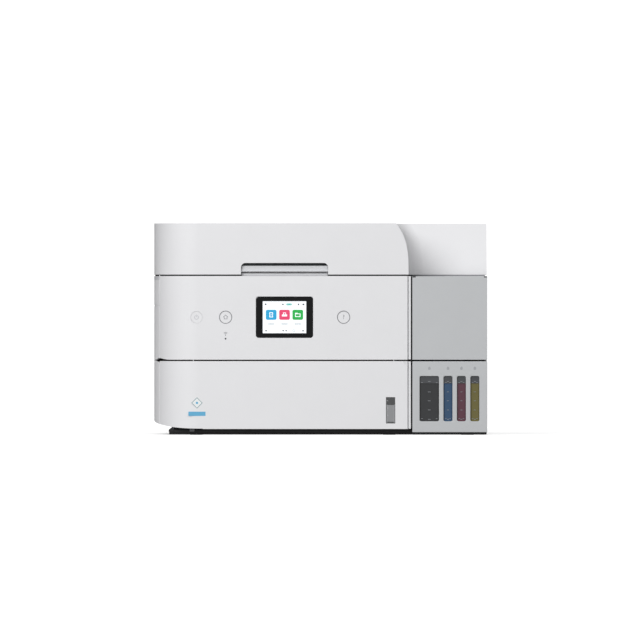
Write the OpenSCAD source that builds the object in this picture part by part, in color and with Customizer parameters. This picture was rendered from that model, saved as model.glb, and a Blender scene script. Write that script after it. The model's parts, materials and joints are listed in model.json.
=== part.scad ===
// Compact office inkjet printer with refillable tanks, a flatbed scanner and a sheet feeder.
// Frame: +Z up, the front faces -Y, the origin lies on the floor under the middle of the body.
// Sizes are in millimetres.

/* [Body] */
// Overall width, left to right
body_w = 375; // [368:1:390]
// Overall depth, front to back
body_d = 347; // [342:1:360]
// Overall height from the floor to the flat top
body_h = 238; // [234:1:246]
// Radius of the upright corner at the front left, seen from above
corner_r = 50; // [40:1:55]
// Wall of the outer covers
wall = 2.5; // [2:0.1:3]
// Open seam between neighbouring outer panels
seam = 1.6; // [1.2:0.1:1.8]

/* [Levels] */
// Height of the rubber feet
foot_h = 3; // [2.5:0.1:3.5]
// Floor to the lower edge of the drawer front
skirt_z = 6.7; // [6.5:0.1:7.5]
// Top edge of the drawer front
drawer_top_z = 83; // [82:0.5:84]
// Top edge of the control panel and of the scanner unit
panel_top_z = 178.7; // [177:0.1:182]
// Underside of the scanner unit
scanner_z = 146; // [144:0.5:147]

/* [Front panels] */
// Thickness of the drawer front and of the control panel
front_t = 3; // [2.8:0.1:3.2]
// How far behind the front plane the wrapped panels end on the left side
wrap_d = 25.5; // [22:0.5:28]
// Rise of the lower edge where it sweeps up round the left corner
sweep_rise = 7.3; // [5:0.1:9]
// Distance from the left side over which that edge sweeps up
sweep_run = 45.5; // [40:0.5:50]

/* [Ink unit] */
// Width of the ink unit at the front right
tank_unit_w = 84.2; // [84:0.1:88]
// Depth of the ink unit from the front plane
tank_unit_d = 77.5; // [76:0.5:80]
// Inner width of the black window
black_window_w = 21.8; // [20:0.1:22]
// Inner width of a colour window
colour_window_w = 10; // [8:0.1:10.5]
// Width of the post between two windows
window_post = 5.1; // [4.8:0.1:5.4]
// Lower edge of the windows
window_z0 = 15.3; // [13:0.1:18]
// Height of the windows
window_h = 51; // [46:0.5:52]
// Wall of an ink tank
tank_wall = 1.2; // [1:0.1:1.4]
// Inner radius of a filler neck
neck_r = 3.2; // [3:0.1:3.4]

/* [Lid] */
// Width cut from the front right of the lid at its lower edge
scoop_w = 88.7; // [86:0.1:90]
// Extra width of that cut at the top of the lid
scoop_flare = 14.1; // [8:0.1:18]
// Depth of the cut from the front plane at the lower edge of the lid
scoop_d = 83.5; // [82:0.5:86]
// How far the set-back face leans back at the top
scoop_lean = 26; // [18:1:28]
// Radius of the hollow corner of that cut
scoop_r = 17; // [12:1:18]
// Width of the finger recess in the front edge of the lid
grip_w = 97.8; // [80:0.1:110]
// Height of the finger recess
grip_h = 13; // [10:0.5:16]
// Depth of the finger recess
grip_d = 12; // [8:0.5:14]

/* [Display and buttons] */
// Width of the black display bezel
bezel_w = 64.5; // [60:0.5:70]
// Height of the black display bezel
bezel_h = 46.6; // [42:0.5:50]
// Width of the lit screen
screen_w = 49; // [45:0.5:52]
// Height of the lit screen
screen_h = 36; // [32:0.5:38]
// Radius of a round button
button_r = 6.5; // [5.5:0.1:7]
// Travel of a button
button_travel = 0.6; // [0.4:0.1:0.7]

/* [Paper path] */
// Space beside the largest sheet on each side of the cassette
sheet_side = 14; // [13:0.5:16]
// Height of the walls of the paper cassette
cassette_h = 44; // [38:1:46]
// Length of the output tray, front to back
tray_l = 150; // [140:1:155]
// Thickness of the output tray
tray_t = 5.4; // [5.2:0.1:5.6]

/* [Scanner] */
// Length of the document glass, left to right
glass_l = 297; // [290:1:297]
// Width of the document glass, front to back
glass_w = 216; // [210:1:216]
// Thickness of the glass
glass_t = 3; // [2.5:0.1:3]

/* [Fits] */
// Gap between parts that move past each other
slide_gap = 0.4; // [0.3:0.05:0.5]
// Radial clearance of a pin or shaft in its bore
pin_gap = 0.05; // [0.03:0.01:0.08]
// Radius of the small hinge pins
pin_r = 2; // [1.8:0.1:2.2]

/* [Hidden] */
$fn = 64;

// Colours
white_shell = "#e9e9eb";
grey_shell = "#bdbfc1";
black_part = "#26272a";
dark_part = "#3c3e42";
steel = "#a9adb2";

// Outer planes
eps = 0.01;
left_x = -body_w / 2;
right_x = body_w / 2;
front_y = -body_d / 2;
back_y = body_d / 2;
corner_x = left_x + corner_r;
corner_y = front_y + corner_r;
wrap_y = front_y + wrap_d;

// Ink unit planes
side_step = 0.2;
tank_x1 = right_x - side_step;
tank_x0 = tank_x1 - tank_unit_w;
front_right_x = tank_x0 - seam - side_step;
tank_back_y = front_y + tank_unit_d;
bay_wall_y = tank_back_y + seam;

// Levels
floor_z = skirt_z - slide_gap;
panel_z = drawer_top_z + seam;
lid_z = panel_top_z + seam;
shell_top_z = scanner_z - 1;
deck_z = drawer_top_z - 3.5;
deck_t = 3;
deck_top_z = deck_z + deck_t;
tray_z = panel_z + 1;
tray_top_z = tray_z + tray_t;
paper_z = tray_top_z + 6.5;

// The cassette's outer walls, the middle of the paper path and the largest sheet
cassette_x0 = left_x + 37.5;
cassette_x1 = front_right_x - 13.3;
path_x = (cassette_x0 + cassette_x1) / 2;
paper_w = cassette_x1 - cassette_x0 - 2 * sheet_side;
cassette_z = skirt_z + 0.8;
cassette_back_y = back_y - 28;
runner_w = 3;
runner_z = cassette_z + 21;
runner_t = 3;
bay_t = 2.5;
bay_x0 = cassette_x0 - 15;
bay_x1 = cassette_x1 + 8;
bay_y0 = front_y + 15;
bay_y1 = back_y - 20;

// Frames of the print engine
plate_t = 2;
plate_x0 = bay_x0;
plate_x1 = right_x - 7.5;
plate_y0 = front_y + 93;
plate_y1 = back_y - 22;
plate_z1 = scanner_z - 3;
shaft_r = 4;
shaft_y = front_y + 215.5;
shaft_z = paper_z + 15;
belt_y = shaft_y + 10;
belt_z = shaft_z + 16;
carriage_w = 56;
carriage_x1 = plate_x1 - 6;
carriage_x0 = carriage_x1 - carriage_w;
feed_y = shaft_y + 22;
feed_r = 5;
eject_y = front_y + 133.5;
eject_r = 2.8;
journal_r = 2.2;

// A box from its six planes
module block(x0, x1, y0, y1, z0, z1) {
    translate([x0, y0, z0]) cube([x1 - x0, y1 - y0, z1 - z0]);
}

// A round bar along X, from x0 to x1
module bar_x(x0, x1, y, z, r) {
    translate([x0, y, z]) rotate([0, 90, 0]) cylinder(h = x1 - x0, r = r);
}

// A round bar along Y, from y0 to y1
module bar_y(y0, y1, x, z, r) {
    translate([x, y0, z]) rotate([-90, 0, 0]) cylinder(h = y1 - y0, r = r);
}

// A round bar upright, from z0 to z1
module bar_z(z0, z1, x, y, r) {
    translate([x, y, z0]) cylinder(h = z1 - z0, r = r);
}

// Outline of the body from above, moved in by inset: only the front left corner is round
module plan(inset) {
    translate([left_x + inset, corner_y]) square([body_w - 2 * inset, body_d - corner_r - inset]);
    translate([corner_x, front_y + inset]) square([body_w - corner_r - inset, corner_r]);
    translate([corner_x, corner_y]) circle(r = corner_r - inset, $fn = 128);
}

// A skin that follows the outline between two levels
module skin(z0, z1, outer, t) {
    translate([0, 0, z0]) linear_extrude(z1 - z0) difference() {
        plan(outer);
        plan(outer + t);
    }
}

// What the upward sweep of the lower edge takes away at the left side
module under_sweep() {
    sweep_r = (sweep_run * sweep_run + sweep_rise * sweep_rise) / (2 * sweep_rise);
    sweep_x = left_x + sweep_run;
    translate([0, back_y + 1, 0]) rotate([90, 0, 0]) linear_extrude(body_d + 2) difference() {
        translate([left_x - 1, -1]) square([sweep_run + 1, skirt_z + sweep_rise + 3]);
        translate([sweep_x, skirt_z + sweep_r]) circle(r = sweep_r, $fn = 256);
    }
}

// The part of a skin that the front panels take: from the right end round the left corner
module front_wrap(z0, z1) {
    intersection() {
        skin(z0, z1, 0, front_t);
        block(left_x - 1, front_right_x, front_y - 1, wrap_y, z0, z1);
    }
}

// ---- Base and outer covers ----

// Black tray under the machine, kept clear of the ink unit
module base_pan() {
    base_y0 = front_y + 15;
    base_y1 = back_y - 12;
    color(black_part) union() {
        block(left_x + 16.5, front_right_x - 1, base_y0, base_y1, foot_h, floor_z);
        block(front_right_x - 2, right_x - wall, bay_wall_y, base_y1, foot_h, floor_z);
    }
}

// Five round pads that carry the weight
module rubber_feet() {
    pad_r = 7;
    color("#1d1e20") {
        for (y = [front_y + 34, back_y - 34]) {
            bar_z(0, foot_h, left_x + 47.5, y, pad_r);
            bar_z(0, foot_h, front_right_x - 24, y, pad_r);
        }
        bar_z(0, foot_h, tank_x1 - 22, front_y + 24, pad_r);
        bar_z(0, foot_h, tank_x1 - 22, back_y - 34, pad_r);
    }
}

// Left cover with the front edge that meets the wrapped panels, and three inner ribs
module left_shell() {
    notch_h = 5.5;
    notch_y1 = corner_y - 7;
    seam_mid_z = (drawer_top_z + panel_z) / 2;
    rib_z0 = skirt_z + sweep_rise + 8;
    color(white_shell) difference() {
        union() {
            intersection() {
                skin(skirt_z, shell_top_z, 0, wall);
                block(left_x - 1, left_x + corner_r, wrap_y + seam / 2, back_y - wall - eps, 0, body_h);
            }
            for (y = [front_y + 70, 0, back_y - 60])
                block(left_x + wall - eps, bay_x0 - bay_t, y, y + 3, rib_z0, deck_z - 15);
        }
        under_sweep();
        translate([left_x - 1, 0, 0]) rotate([90, 0, 90]) linear_extrude(corner_r) polygon([
            [wrap_y, seam_mid_z - notch_h / 2],
            [notch_y1, seam_mid_z],
            [wrap_y, seam_mid_z + notch_h / 2]
        ]);
    }
}

// Right cover behind the ink unit
module right_shell() {
    color(grey_shell) union() {
        block(right_x - wall, right_x, bay_wall_y, back_y - wall, 12, shell_top_z);
        for (y = [front_y + 110, 20, back_y - 60])
            block(plate_x1 + plate_t, right_x - wall + eps, y, y + 3, deck_top_z + 4, plate_z1 - 10);
    }
}

// Opening of the rear cover and of the connection panel
rear_x0 = path_x - paper_w / 2 - 10;
rear_x1 = path_x + paper_w / 2 + 10;
rear_z0 = 62;
rear_z1 = 138;
port_x0 = right_x - 70;
port_x1 = right_x - 15;
port_z0 = 20;
port_z1 = 52;

// Back cover
module rear_shell() {
    color(white_shell) difference() {
        union() {
            block(left_x, right_x, back_y - wall, back_y, 12, shell_top_z);
            scan_hinge_posts();
        }
        block(rear_x0, rear_x1, back_y - wall - 1, back_y + 1, rear_z0, rear_z1);
        block(port_x0, port_x1, back_y - wall - 1, back_y + 1, port_z0, port_z1);
        for (x = [left_x + 30 : 9 : left_x + 66])
            block(x, x + 4, back_y - wall - 1, back_y + 1, 30, 50);
    }
}

// Sockets at the back: mains inlet, data, network and two telephone jacks
module port_block() {
    depth = 18;
    y1 = back_y - 0.8;
    mid_z = (port_z0 + port_z1) / 2;
    color(dark_part) difference() {
        block(port_x0, port_x1, y1 - depth, y1, port_z0, port_z1);
        block(port_x0 + 5, port_x0 + 25, y1 - 14, y1 + 1, mid_z - 6, mid_z + 6);
        block(port_x0 + 30, port_x0 + 38, y1 - 12, y1 + 1, mid_z + 3, mid_z + 11);
        block(port_x0 + 30, port_x0 + 38, y1 - 12, y1 + 1, mid_z - 11, mid_z - 3);
        block(port_x0 + 42, port_x0 + 51, y1 - 12, y1 + 1, mid_z + 3, mid_z + 11);
        block(port_x0 + 42, port_x0 + 51, y1 - 12, y1 + 1, mid_z - 11, mid_z - 3);
    }
}

// Removable duplex unit at the back, with the curved guide that turns the sheet round
module rear_cover() {
    hood_y0 = back_y - 19;
    turn_r = 34;
    turn_y = back_y - 45;
    turn_z = (rear_z0 + rear_z1) / 2;
    x0 = rear_x0 + slide_gap;
    x1 = rear_x1 - slide_gap;
    color(white_shell) difference() {
        union() {
            block(x0, x1, back_y - wall, back_y, rear_z0 + slide_gap, rear_z1 - slide_gap);
            block(x0 + 3, x1 - 3, hood_y0, back_y - wall + eps, rear_z0 + 4, rear_z1 - 4);
        }
        bar_x(x0 + 8, x1 - 8, turn_y, turn_z, turn_r);
        for (x = [x0 + 18, x1 - 34])
            block(x, x + 16, back_y - 5, back_y + 1, rear_z1 - 22, rear_z1 - 10);
    }
}

// ---- Inner frames ----

// Walls and runners of the cassette bay, with the deck that carries the print engine
module cassette_bay() {
    ledge_z = runner_z - slide_gap;
    ledge_t = 3;
    color(dark_part) difference() {
        union() {
            bay_plates(ledge_z, ledge_t);
            block(bay_x0 - bay_t, plate_x1 + plate_t, bay_wall_y + 2, shaft_y + 18,
                  deck_z - eps, deck_top_z);
            for (x = [tray_x_left + 10, tray_x_right - 14])
                block(x, x + 4, bay_wall_y + 2, shaft_y, deck_top_z - eps, tray_z - slide_gap);
        }
        for (i = [0 : 3])
            bar_z(deck_z - 1, deck_top_z + 1, tank_mid(i), tube_joint_y, riser_r + slide_gap);
    }
}

// Both walls of the cassette bay with their ledges
module bay_plates(ledge_z, ledge_t) {
    union() {
        for (side = [0, 1]) {
            x = side == 0 ? bay_x0 - bay_t : bay_x1;
            ledge_x0 = side == 0 ? bay_x0 - eps : cassette_x1 + slide_gap;
            ledge_x1 = side == 0 ? cassette_x0 - slide_gap : bay_x1 + eps;
            block(x, x + bay_t, bay_y0, bay_y1, floor_z, deck_z);
            block(ledge_x0, ledge_x1, bay_y0, bay_y1, ledge_z - ledge_t, ledge_z);
        }
    }
}

// Panel hinge line: inside the front wall, just under the top edge
hinge_y = front_y + front_t;
hinge_z = panel_top_z - 2.9;
arm_x = [left_x + 60, front_right_x - 11.3];
arm_t = 3;
arm_pin_r = 1.2;
arm_pin_l = 4;

// Sill under the output slot with the two arms that carry the control panel
module front_frame() {
    arm_y0 = bay_y0 + 0.5;
    head_r = 2;
    color(dark_part) union() {
        block(bay_x0, bay_x1, bay_y0 + 0.5, bay_wall_y + 2, deck_z, deck_top_z);
        for (x = [tray_x_left + 10, tray_x_right - 14])
            block(x, x + 4, bay_y0 + 6, bay_wall_y + 2, deck_top_z - eps, tray_z - slide_gap);
        for (x = arm_x) {
            translate([x, 0, 0]) rotate([90, 0, 90]) linear_extrude(arm_t) polygon([
                [arm_y0, deck_z],
                [arm_y0 + 9, deck_z],
                [arm_y0 + 9, scanner_z - 24],
                [hinge_y + 8, scanner_z - 9],
                [hinge_y + 8, hinge_z - 3],
                [hinge_y + 0.5, hinge_z + 1.8],
                [hinge_y - 0.8, hinge_z - 1.6],
                [hinge_y + 2.6, hinge_z - 6],
                [hinge_y + 2.6, scanner_z - 12],
                [arm_y0, scanner_z - 22]
            ]);
            bar_x(x, x + arm_t, hinge_y, hinge_z, head_r);
            bar_x(x - arm_pin_l, x + arm_t + arm_pin_l, hinge_y, hinge_z, arm_pin_r);
        }
    }
}

// Steel side plates and the rail between them, bored for the roller journals
module engine_frame() {
    rail_y = shaft_y + 14;
    rail_z0 = shaft_z - 6;
    color(steel) difference() {
        union() {
            for (x = [plate_x0, plate_x1])
                block(x, x + plate_t, plate_y0, plate_y1, deck_top_z, plate_z1);
            block(plate_x0 + eps, plate_x1 + eps, rail_y, rail_y + plate_t, rail_z0, plate_z1 - 2);
            block(plate_x0 + eps, plate_x1 + eps, rail_y, rail_y + 16, plate_z1 - 4, plate_z1 - 2);
        }
        bar_x(plate_x0 - 1, plate_x1 + 4, feed_y, paper_z - feed_r, journal_r + pin_gap);
        bar_x(plate_x0 - 1, plate_x1 + 4, eject_y, paper_z - eject_r, journal_r + pin_gap);
    }
}

// Polished bar that the carriage runs on
module guide_shaft() {
    color("#c9ccd0") bar_x(plate_x0 + plate_t, plate_x1, shaft_y, shaft_z, shaft_r);
}

// Ribbed bed under the print zone
module platen() {
    y0 = carriage_y0 - 2;
    y1 = y0 + 56;
    x0 = path_x - paper_w / 2 - 12;
    x1 = path_x + paper_w / 2 + 12;
    rib_pitch = 18;
    foot_x = 5;
    color(black_part) union() {
        block(x0, x1, y0, y1, tray_top_z + 0.6, paper_z - 2);
        for (x = [x0 + 6 : rib_pitch : x1 - 6])
            block(x, x + 1.6, y0, y1, paper_z - 2 - eps, paper_z);
        for (x = [x0 - foot_x, x1])
            block(x, x + foot_x, y0 + 5, y1 - 5, deck_top_z, paper_z - 2);
    }
}

// Toothed belt that pulls the carriage, and the two wheels it runs on
belt_x0 = plate_x0 + 18;
belt_x1 = plate_x1 - 14;
wheel_r = 7;
module drive_belt() {
    belt_t = 1.4;
    belt_w = 4;
    color("#202124") translate([0, belt_y + belt_w / 2, 0]) rotate([90, 0, 0]) linear_extrude(belt_w)
        difference() {
            union() {
                for (x = [belt_x0, belt_x1])
                    translate([x, belt_z]) circle(r = wheel_r + belt_t);
                translate([belt_x0, belt_z - wheel_r - belt_t])
                    square([belt_x1 - belt_x0, 2 * (wheel_r + belt_t)]);
            }
            for (x = [belt_x0, belt_x1])
                translate([x, belt_z]) circle(r = wheel_r);
            translate([belt_x0, belt_z - wheel_r]) square([belt_x1 - belt_x0, 2 * wheel_r]);
        }
}

// Motor behind the rail with its wheel, and the idler wheel at the other end
module carriage_motor() {
    rail_back = shaft_y + 14 + plate_t;
    rail_front = shaft_y + 14;
    color("#8b8f95") union() {
        bar_y(rail_back, rail_back + 26, belt_x0, belt_z - 6, 14);
        for (x = [belt_x0, belt_x1])
            bar_y(belt_y - 2, rail_front, x, belt_z, wheel_r - 0.1);
    }
}

// Print head carriage with its bearing on the guide shaft
carriage_y0 = shaft_y - 72;
carriage_z0 = paper_z + 1.2;
carriage_z1 = scanner_z - 6;
module carriage() {
    color(black_part) difference() {
        union() {
            block(carriage_x0, carriage_x1, carriage_y0, shaft_y + 6.5, carriage_z0 + 6, carriage_z1 - 8);
            block(carriage_x0 + 6, carriage_x1 - 6, carriage_y0 + 6, shaft_y - 14, carriage_z0, carriage_z1);
        }
        bar_x(carriage_x0 - 1, carriage_x1 + 1, shaft_y, shaft_z, shaft_r + pin_gap);
        block(carriage_x0 + 4, carriage_x1 - 4, shaft_y - 10, shaft_y + 7, shaft_z + 9, carriage_z1);
    }
}

// Capping and wiping station under the parked carriage
module maintenance_station() {
    x0 = carriage_x0 + 2;
    x1 = carriage_x1 - 2;
    y0 = carriage_y0 + 2;
    color(dark_part) difference() {
        block(x0, x1, y0, y0 + 58, deck_top_z, carriage_z0 - 0.6);
        block(x0 + 6, x1 - 18, y0 + 8, y0 + 44, paper_z - 8, paper_z + 3);
        block(x1 - 13, x1 - 5, y0 + 8, y0 + 44, paper_z - 5, paper_z + 3);
    }
}

// Closed power supply case on the floor of the right compartment
module power_supply() {
    color("#55585d") union() {
        block(bay_x1 + 8, right_x - 12, tube_joint_y + 6, back_y - 60, floor_z, deck_z - 12);
        for (y = [tube_joint_y + 20 : 12 : back_y - 80])
            block(bay_x1 + 14, right_x - 18, y, y + 4, deck_z - 12 - eps, deck_z - 10);
    }
}

// Roller set on one shaft: journals run in the side plates, the wheel outside the left plate drives it
module roller(y, z, r, sleeve_r, pitch) {
    inner_x0 = plate_x0 + plate_t + slide_gap;
    inner_x1 = plate_x1 - slide_gap;
    drive_x1 = plate_x0 - slide_gap;
    drive_t = 5;
    sleeve_l = 14;
    bar_x(inner_x0, inner_x1, y, z, r);
    bar_x(drive_x1 - eps, inner_x0 + eps, y, z, journal_r);
    bar_x(inner_x1 - eps, plate_x1 + plate_t + 0.5, y, z, journal_r);
    bar_x(drive_x1 - drive_t, drive_x1, y, z, 9);
    for (x = [path_x - paper_w / 2 + 6 : pitch : path_x + paper_w / 2 - 20])
        bar_x(x, x + sleeve_l, y, z, sleeve_r);
}

// Roller that feeds the sheet under the print head
module feed_roller() {
    color("#6c7076") roller(feed_y, paper_z - feed_r, feed_r - 1.2, feed_r, 36);
}

// Roller that sends the printed sheet out to the tray
module eject_roller() {
    color("#4a4d52") roller(eject_y, paper_z - eject_r, eject_r - 0.4, eject_r, 48);
}

// ---- Ink unit ----

window_x0 = tank_x0 + 8.1;
window_y = front_y + wall;
tank_gap = 0.6;
tank_z0 = foot_h + 2;
tank_z1 = drawer_top_z - 5;
tank_y1 = tank_back_y - 4;
neck_y = front_y + 45;
neck_z1 = tank_z1 + 14;
neck_wall = 1.6;
bay_floor_t = 3;
bay_floor_z1 = tank_z1 + slide_gap + bay_floor_t;
cover_z1 = panel_top_z - 0.4;

// Left edge and width of window i, counted from the left
function window_w(i) = i == 0 ? black_window_w : colour_window_w;
function window_x(i) = i == 0 ? window_x0 : window_x(i - 1) + window_w(i - 1) + window_post;
function tank_mid(i) = window_x(i) + window_w(i) / 2;

// Lower housing with one window for each tank, open at the top and at the back
module tank_housing() {
    side_t = 2;
    color(grey_shell) difference() {
        block(tank_x0, tank_x1, front_y, tank_back_y, foot_h, drawer_top_z - side_step);
        block(tank_x0 + side_t, tank_x1 - side_t, window_y, tank_back_y + 1, tank_z0, drawer_top_z + 1);
        for (i = [0 : 3])
            block(window_x(i), window_x(i) + window_w(i), front_y - 1, window_y + 1,
                  window_z0, window_z0 + window_h);
    }
}

// One hollow tank with its filler neck
module tank(i) {
    margin = (window_post - tank_gap) / 2;
    x0 = window_x(i) - margin;
    x1 = window_x(i) + window_w(i) + margin;
    difference() {
        union() {
            block(x0, x1, window_y, tank_y1, tank_z0, tank_z1);
            bar_z(tank_z1 - eps, neck_z1, tank_mid(i), neck_y, neck_r + neck_wall);
        }
        block(x0 + tank_wall, x1 - tank_wall, window_y + tank_wall, tank_y1 - tank_wall,
              tank_z0 + tank_wall, tank_z1 - tank_wall);
        bar_z(tank_z1 - tank_wall - 1, neck_z1 + 1, tank_mid(i), neck_y, neck_r);
    }
}

module tank_black() {
    color("#3b3c40") tank(0);
}

module tank_cyan() {
    color("#3f6390") tank(1);
}

module tank_magenta() {
    color("#7a4257") tank(2);
}

module tank_yellow() {
    color("#8a8240") tank(3);
}

// Small hinge behind each filler neck
cap_hinge_y = neck_y + 13;
cap_pin_r = 1.2;
cap_pin_l = 4.6;
cap_t = 3.2;
cap_z0 = neck_z1 + slide_gap;
cap_hinge_z = cap_z0 + cap_t / 2 - 0.2;
cap_head_r = 1.9;
ear_w = 3;

// Hinge line of the ink cover
cover_hinge_y = tank_back_y - 7;
cover_hinge_z = cover_z1 - 7.3;
cover_head_r = 4;
cover_post_w = 4;
cover_post_x = [tank_x0 + 11, tank_x1 - 15];
cover_pin_l = 6;

// Floor over the tanks, the wall behind them, the posts of the cover and the ears of the caps
module ink_bay() {
    side_t = 2;
    post_y0 = cover_hinge_y - cover_head_r;
    color(dark_part) difference() {
        union() {
            block(tank_x0 + side_t, tank_x1 - side_t, window_y, bay_wall_y + eps,
                  tank_z1 + slide_gap, bay_floor_z1);
            block(tank_x0, right_x - wall, bay_wall_y, bay_wall_y + 2, floor_z, shell_top_z);
            for (x = cover_post_x) {
                block(x, x + cover_post_w, post_y0, bay_wall_y + eps, shell_top_z - 36, shell_top_z);
                block(x, x + cover_post_w, post_y0, cover_hinge_y + cover_head_r,
                      shell_top_z - eps, cover_hinge_z);
                bar_x(x, x + cover_post_w, cover_hinge_y, cover_hinge_z, cover_head_r);
                bar_x(x - cover_pin_l, x + cover_post_w + cover_pin_l, cover_hinge_y, cover_hinge_z, pin_r);
            }
            for (i = [0 : 3]) {
                x = tank_mid(i);
                block(x - ear_w / 2, x + ear_w / 2, cap_hinge_y - cap_head_r, cap_hinge_y + cap_head_r,
                      bay_floor_z1 - eps, cap_hinge_z);
                bar_x(x - ear_w / 2, x + ear_w / 2, cap_hinge_y, cap_hinge_z, cap_head_r);
                bar_x(x - cap_pin_l, x + cap_pin_l, cap_hinge_y, cap_hinge_z, cap_pin_r);
            }
        }
        for (i = [0 : 3])
            bar_z(tank_z1 - 1, bay_floor_z1 + 1, tank_mid(i), neck_y, neck_r + neck_wall + 0.3);
        block(window_x(0), window_x(3) + window_w(3), bay_wall_y - 1, bay_wall_y + 3,
              tube_z - 3, tube_z + 3);
    }
}

// One filler cap: a disc over the neck, an arm and two lugs round the hinge pin
module cap(i) {
    x = tank_mid(i);
    cap_r = neck_r + neck_wall + 0.9;
    lug_x0 = ear_w / 2 + slide_gap;
    difference() {
        union() {
            bar_z(cap_z0, cap_z0 + cap_t, x, neck_y, cap_r);
            block(x - cap_pin_l, x + cap_pin_l, neck_y, cap_hinge_y, cap_z0, cap_z0 + cap_t);
            bar_x(x - cap_pin_l, x + cap_pin_l, cap_hinge_y, cap_hinge_z, cap_head_r);
            bar_z(cap_z0 + cap_t - eps, cap_z0 + cap_t + 1.2, x, neck_y, cap_r - 2.2);
        }
        block(x - lug_x0, x + lug_x0, cap_hinge_y - cap_head_r - 0.6, cap_hinge_y + 3,
              cap_z0 - 2, cap_z0 + 6);
        bar_x(x - cap_pin_l - 1, x + cap_pin_l + 1, cap_hinge_y, cap_hinge_z, cap_pin_r + pin_gap);
    }
}

module cap_black() {
    color("#2b2c2f") cap(0);
}

module cap_cyan() {
    color("#2f6fb2") cap(1);
}

module cap_magenta() {
    color("#b03a62") cap(2);
}

module cap_yellow() {
    color("#d9bb2c") cap(3);
}

// Tubes from the tanks to the joint block on the deck
tube_z = tank_z1 - 8;
tube_joint_y = bay_wall_y + 32;
riser_r = 2.2;
module ink_tubes() {
    tube_r = 1.4;
    color("#7d8288") union() {
        for (i = [0 : 3]) {
            bar_y(tank_y1, tube_joint_y, tank_mid(i), tube_z, tube_r);
            bar_z(tube_z - 3, deck_top_z + 4, tank_mid(i), tube_joint_y, riser_r);
        }
        block(window_x(0), window_x(3) + window_w(3), tube_joint_y - 5, tube_joint_y + 5,
              deck_top_z, deck_top_z + 8);
    }
}

// Hinged cover over the filler caps: front, top and two sides
module ink_cover() {
    side_t = 2.2;
    lug_x = ear_w;
    color(grey_shell) difference() {
        union() {
            difference() {
                block(tank_x0, tank_x1, front_y, tank_back_y, panel_z, cover_z1);
                block(tank_x0 + side_t, tank_x1 - side_t, front_y + wall, tank_back_y + 1,
                      panel_z - 1, cover_z1 - wall);
            }
            for (x = cover_post_x, side = [-1, 1]) {
                mid = x + cover_post_w / 2 + side * (cover_post_w / 2 + slide_gap + lug_x / 2);
                block(mid - lug_x / 2, mid + lug_x / 2, cover_hinge_y - cover_head_r,
                      cover_hinge_y + cover_head_r, cover_hinge_z, cover_z1 - wall + eps);
                bar_x(mid - lug_x / 2, mid + lug_x / 2, cover_hinge_y, cover_hinge_z, cover_head_r);
            }
        }
        for (x = cover_post_x)
            bar_x(x - cover_pin_l - 1, x + cover_post_w + cover_pin_l + 1,
                  cover_hinge_y, cover_hinge_z, pin_r + pin_gap);
    }
}

// ---- Scanner unit ----

scan_inset = 13;
scan_notch_x = front_right_x - 1;
scan_notch_y = bay_wall_y + 2.8;
scan_back_y = back_y - wall;
scan_floor_t = 2;
scan_top_t = glass_t + 1.5;
scan_top_z = panel_top_z - scan_top_t;
glass_x0 = left_x + 32.5;
glass_x1 = glass_x0 + glass_l;
glass_y0 = front_y + 85.5;
glass_y1 = glass_y0 + glass_w;
strip_x0 = left_x + 9.5;
strip_w = 16;
glass_drop = 0.2;

// Hinge of the scanner unit on the back cover
scan_hinge_x = [left_x + 25, right_x - 37];
scan_hinge_y = back_y - 6;
scan_hinge_z = scanner_z + 8;
scan_post_r = 5;
scan_post_w = 12;
scan_pin_r = 2;
scan_pin_l = 14;
scan_boss_l = 8;

// Outline of the scanner unit from above, moved in by inset
module scan_plan(inset) {
    difference() {
        union() {
            intersection() {
                plan(inset);
                translate([left_x - 1, wrap_y + seam / 2 + inset])
                    square([body_w + 2, scan_back_y - wrap_y - seam / 2 - 2 * inset]);
            }
            intersection() {
                plan(scan_inset + inset);
                translate([left_x - 1, front_y]) square([body_w + 2, body_d / 2]);
            }
        }
        translate([scan_notch_x - inset, front_y - 1])
            square([body_w, scan_notch_y + inset - front_y + 1]);
    }
}

// Space left in the scanner unit for one hinge post
module scan_hinge_notch(x) {
    half = scan_post_w / 2 + slide_gap;
    block(x - half, x + half, scan_hinge_y - 10, back_y + 1, scanner_z - 1, scan_hinge_z + 10);
}

// Lower tub of the scanner with the hinge bosses
module scanner_tub() {
    boss_x = scan_post_w / 2 + slide_gap;
    color(white_shell) difference() {
        union() {
            translate([0, 0, scanner_z]) linear_extrude(scan_floor_t) scan_plan(0);
            translate([0, 0, scanner_z]) linear_extrude(scan_top_z - scanner_z) difference() {
                scan_plan(0);
                scan_plan(wall);
            }
            for (x = scan_hinge_x)
                block(x - boss_x - scan_boss_l, x + boss_x + scan_boss_l, scan_hinge_y - 12,
                      scan_back_y - 1, scanner_z + 1, scan_hinge_z + 12);
        }
        for (x = scan_hinge_x) {
            scan_hinge_notch(x);
            bar_x(x - boss_x - scan_boss_l - 1, x + boss_x + scan_boss_l + 1,
                  scan_hinge_y, scan_hinge_z, scan_pin_r + pin_gap);
        }
    }
}

// Posts and pins on the back cover that the scanner unit turns on
module scan_hinge_posts() {
    for (x = scan_hinge_x) {
        block(x - scan_post_w / 2, x + scan_post_w / 2, scan_hinge_y - scan_post_r,
              back_y - wall + eps, shell_top_z - 50, shell_top_z - 2);
        block(x - scan_post_w / 2, x + scan_post_w / 2, scan_hinge_y - scan_post_r,
              scan_hinge_y + scan_post_r, shell_top_z - 3, scan_hinge_z);
        bar_x(x - scan_post_w / 2, x + scan_post_w / 2, scan_hinge_y, scan_hinge_z, scan_post_r);
        bar_x(x - scan_pin_l, x + scan_pin_l, scan_hinge_y, scan_hinge_z, scan_pin_r);
    }
}

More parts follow.
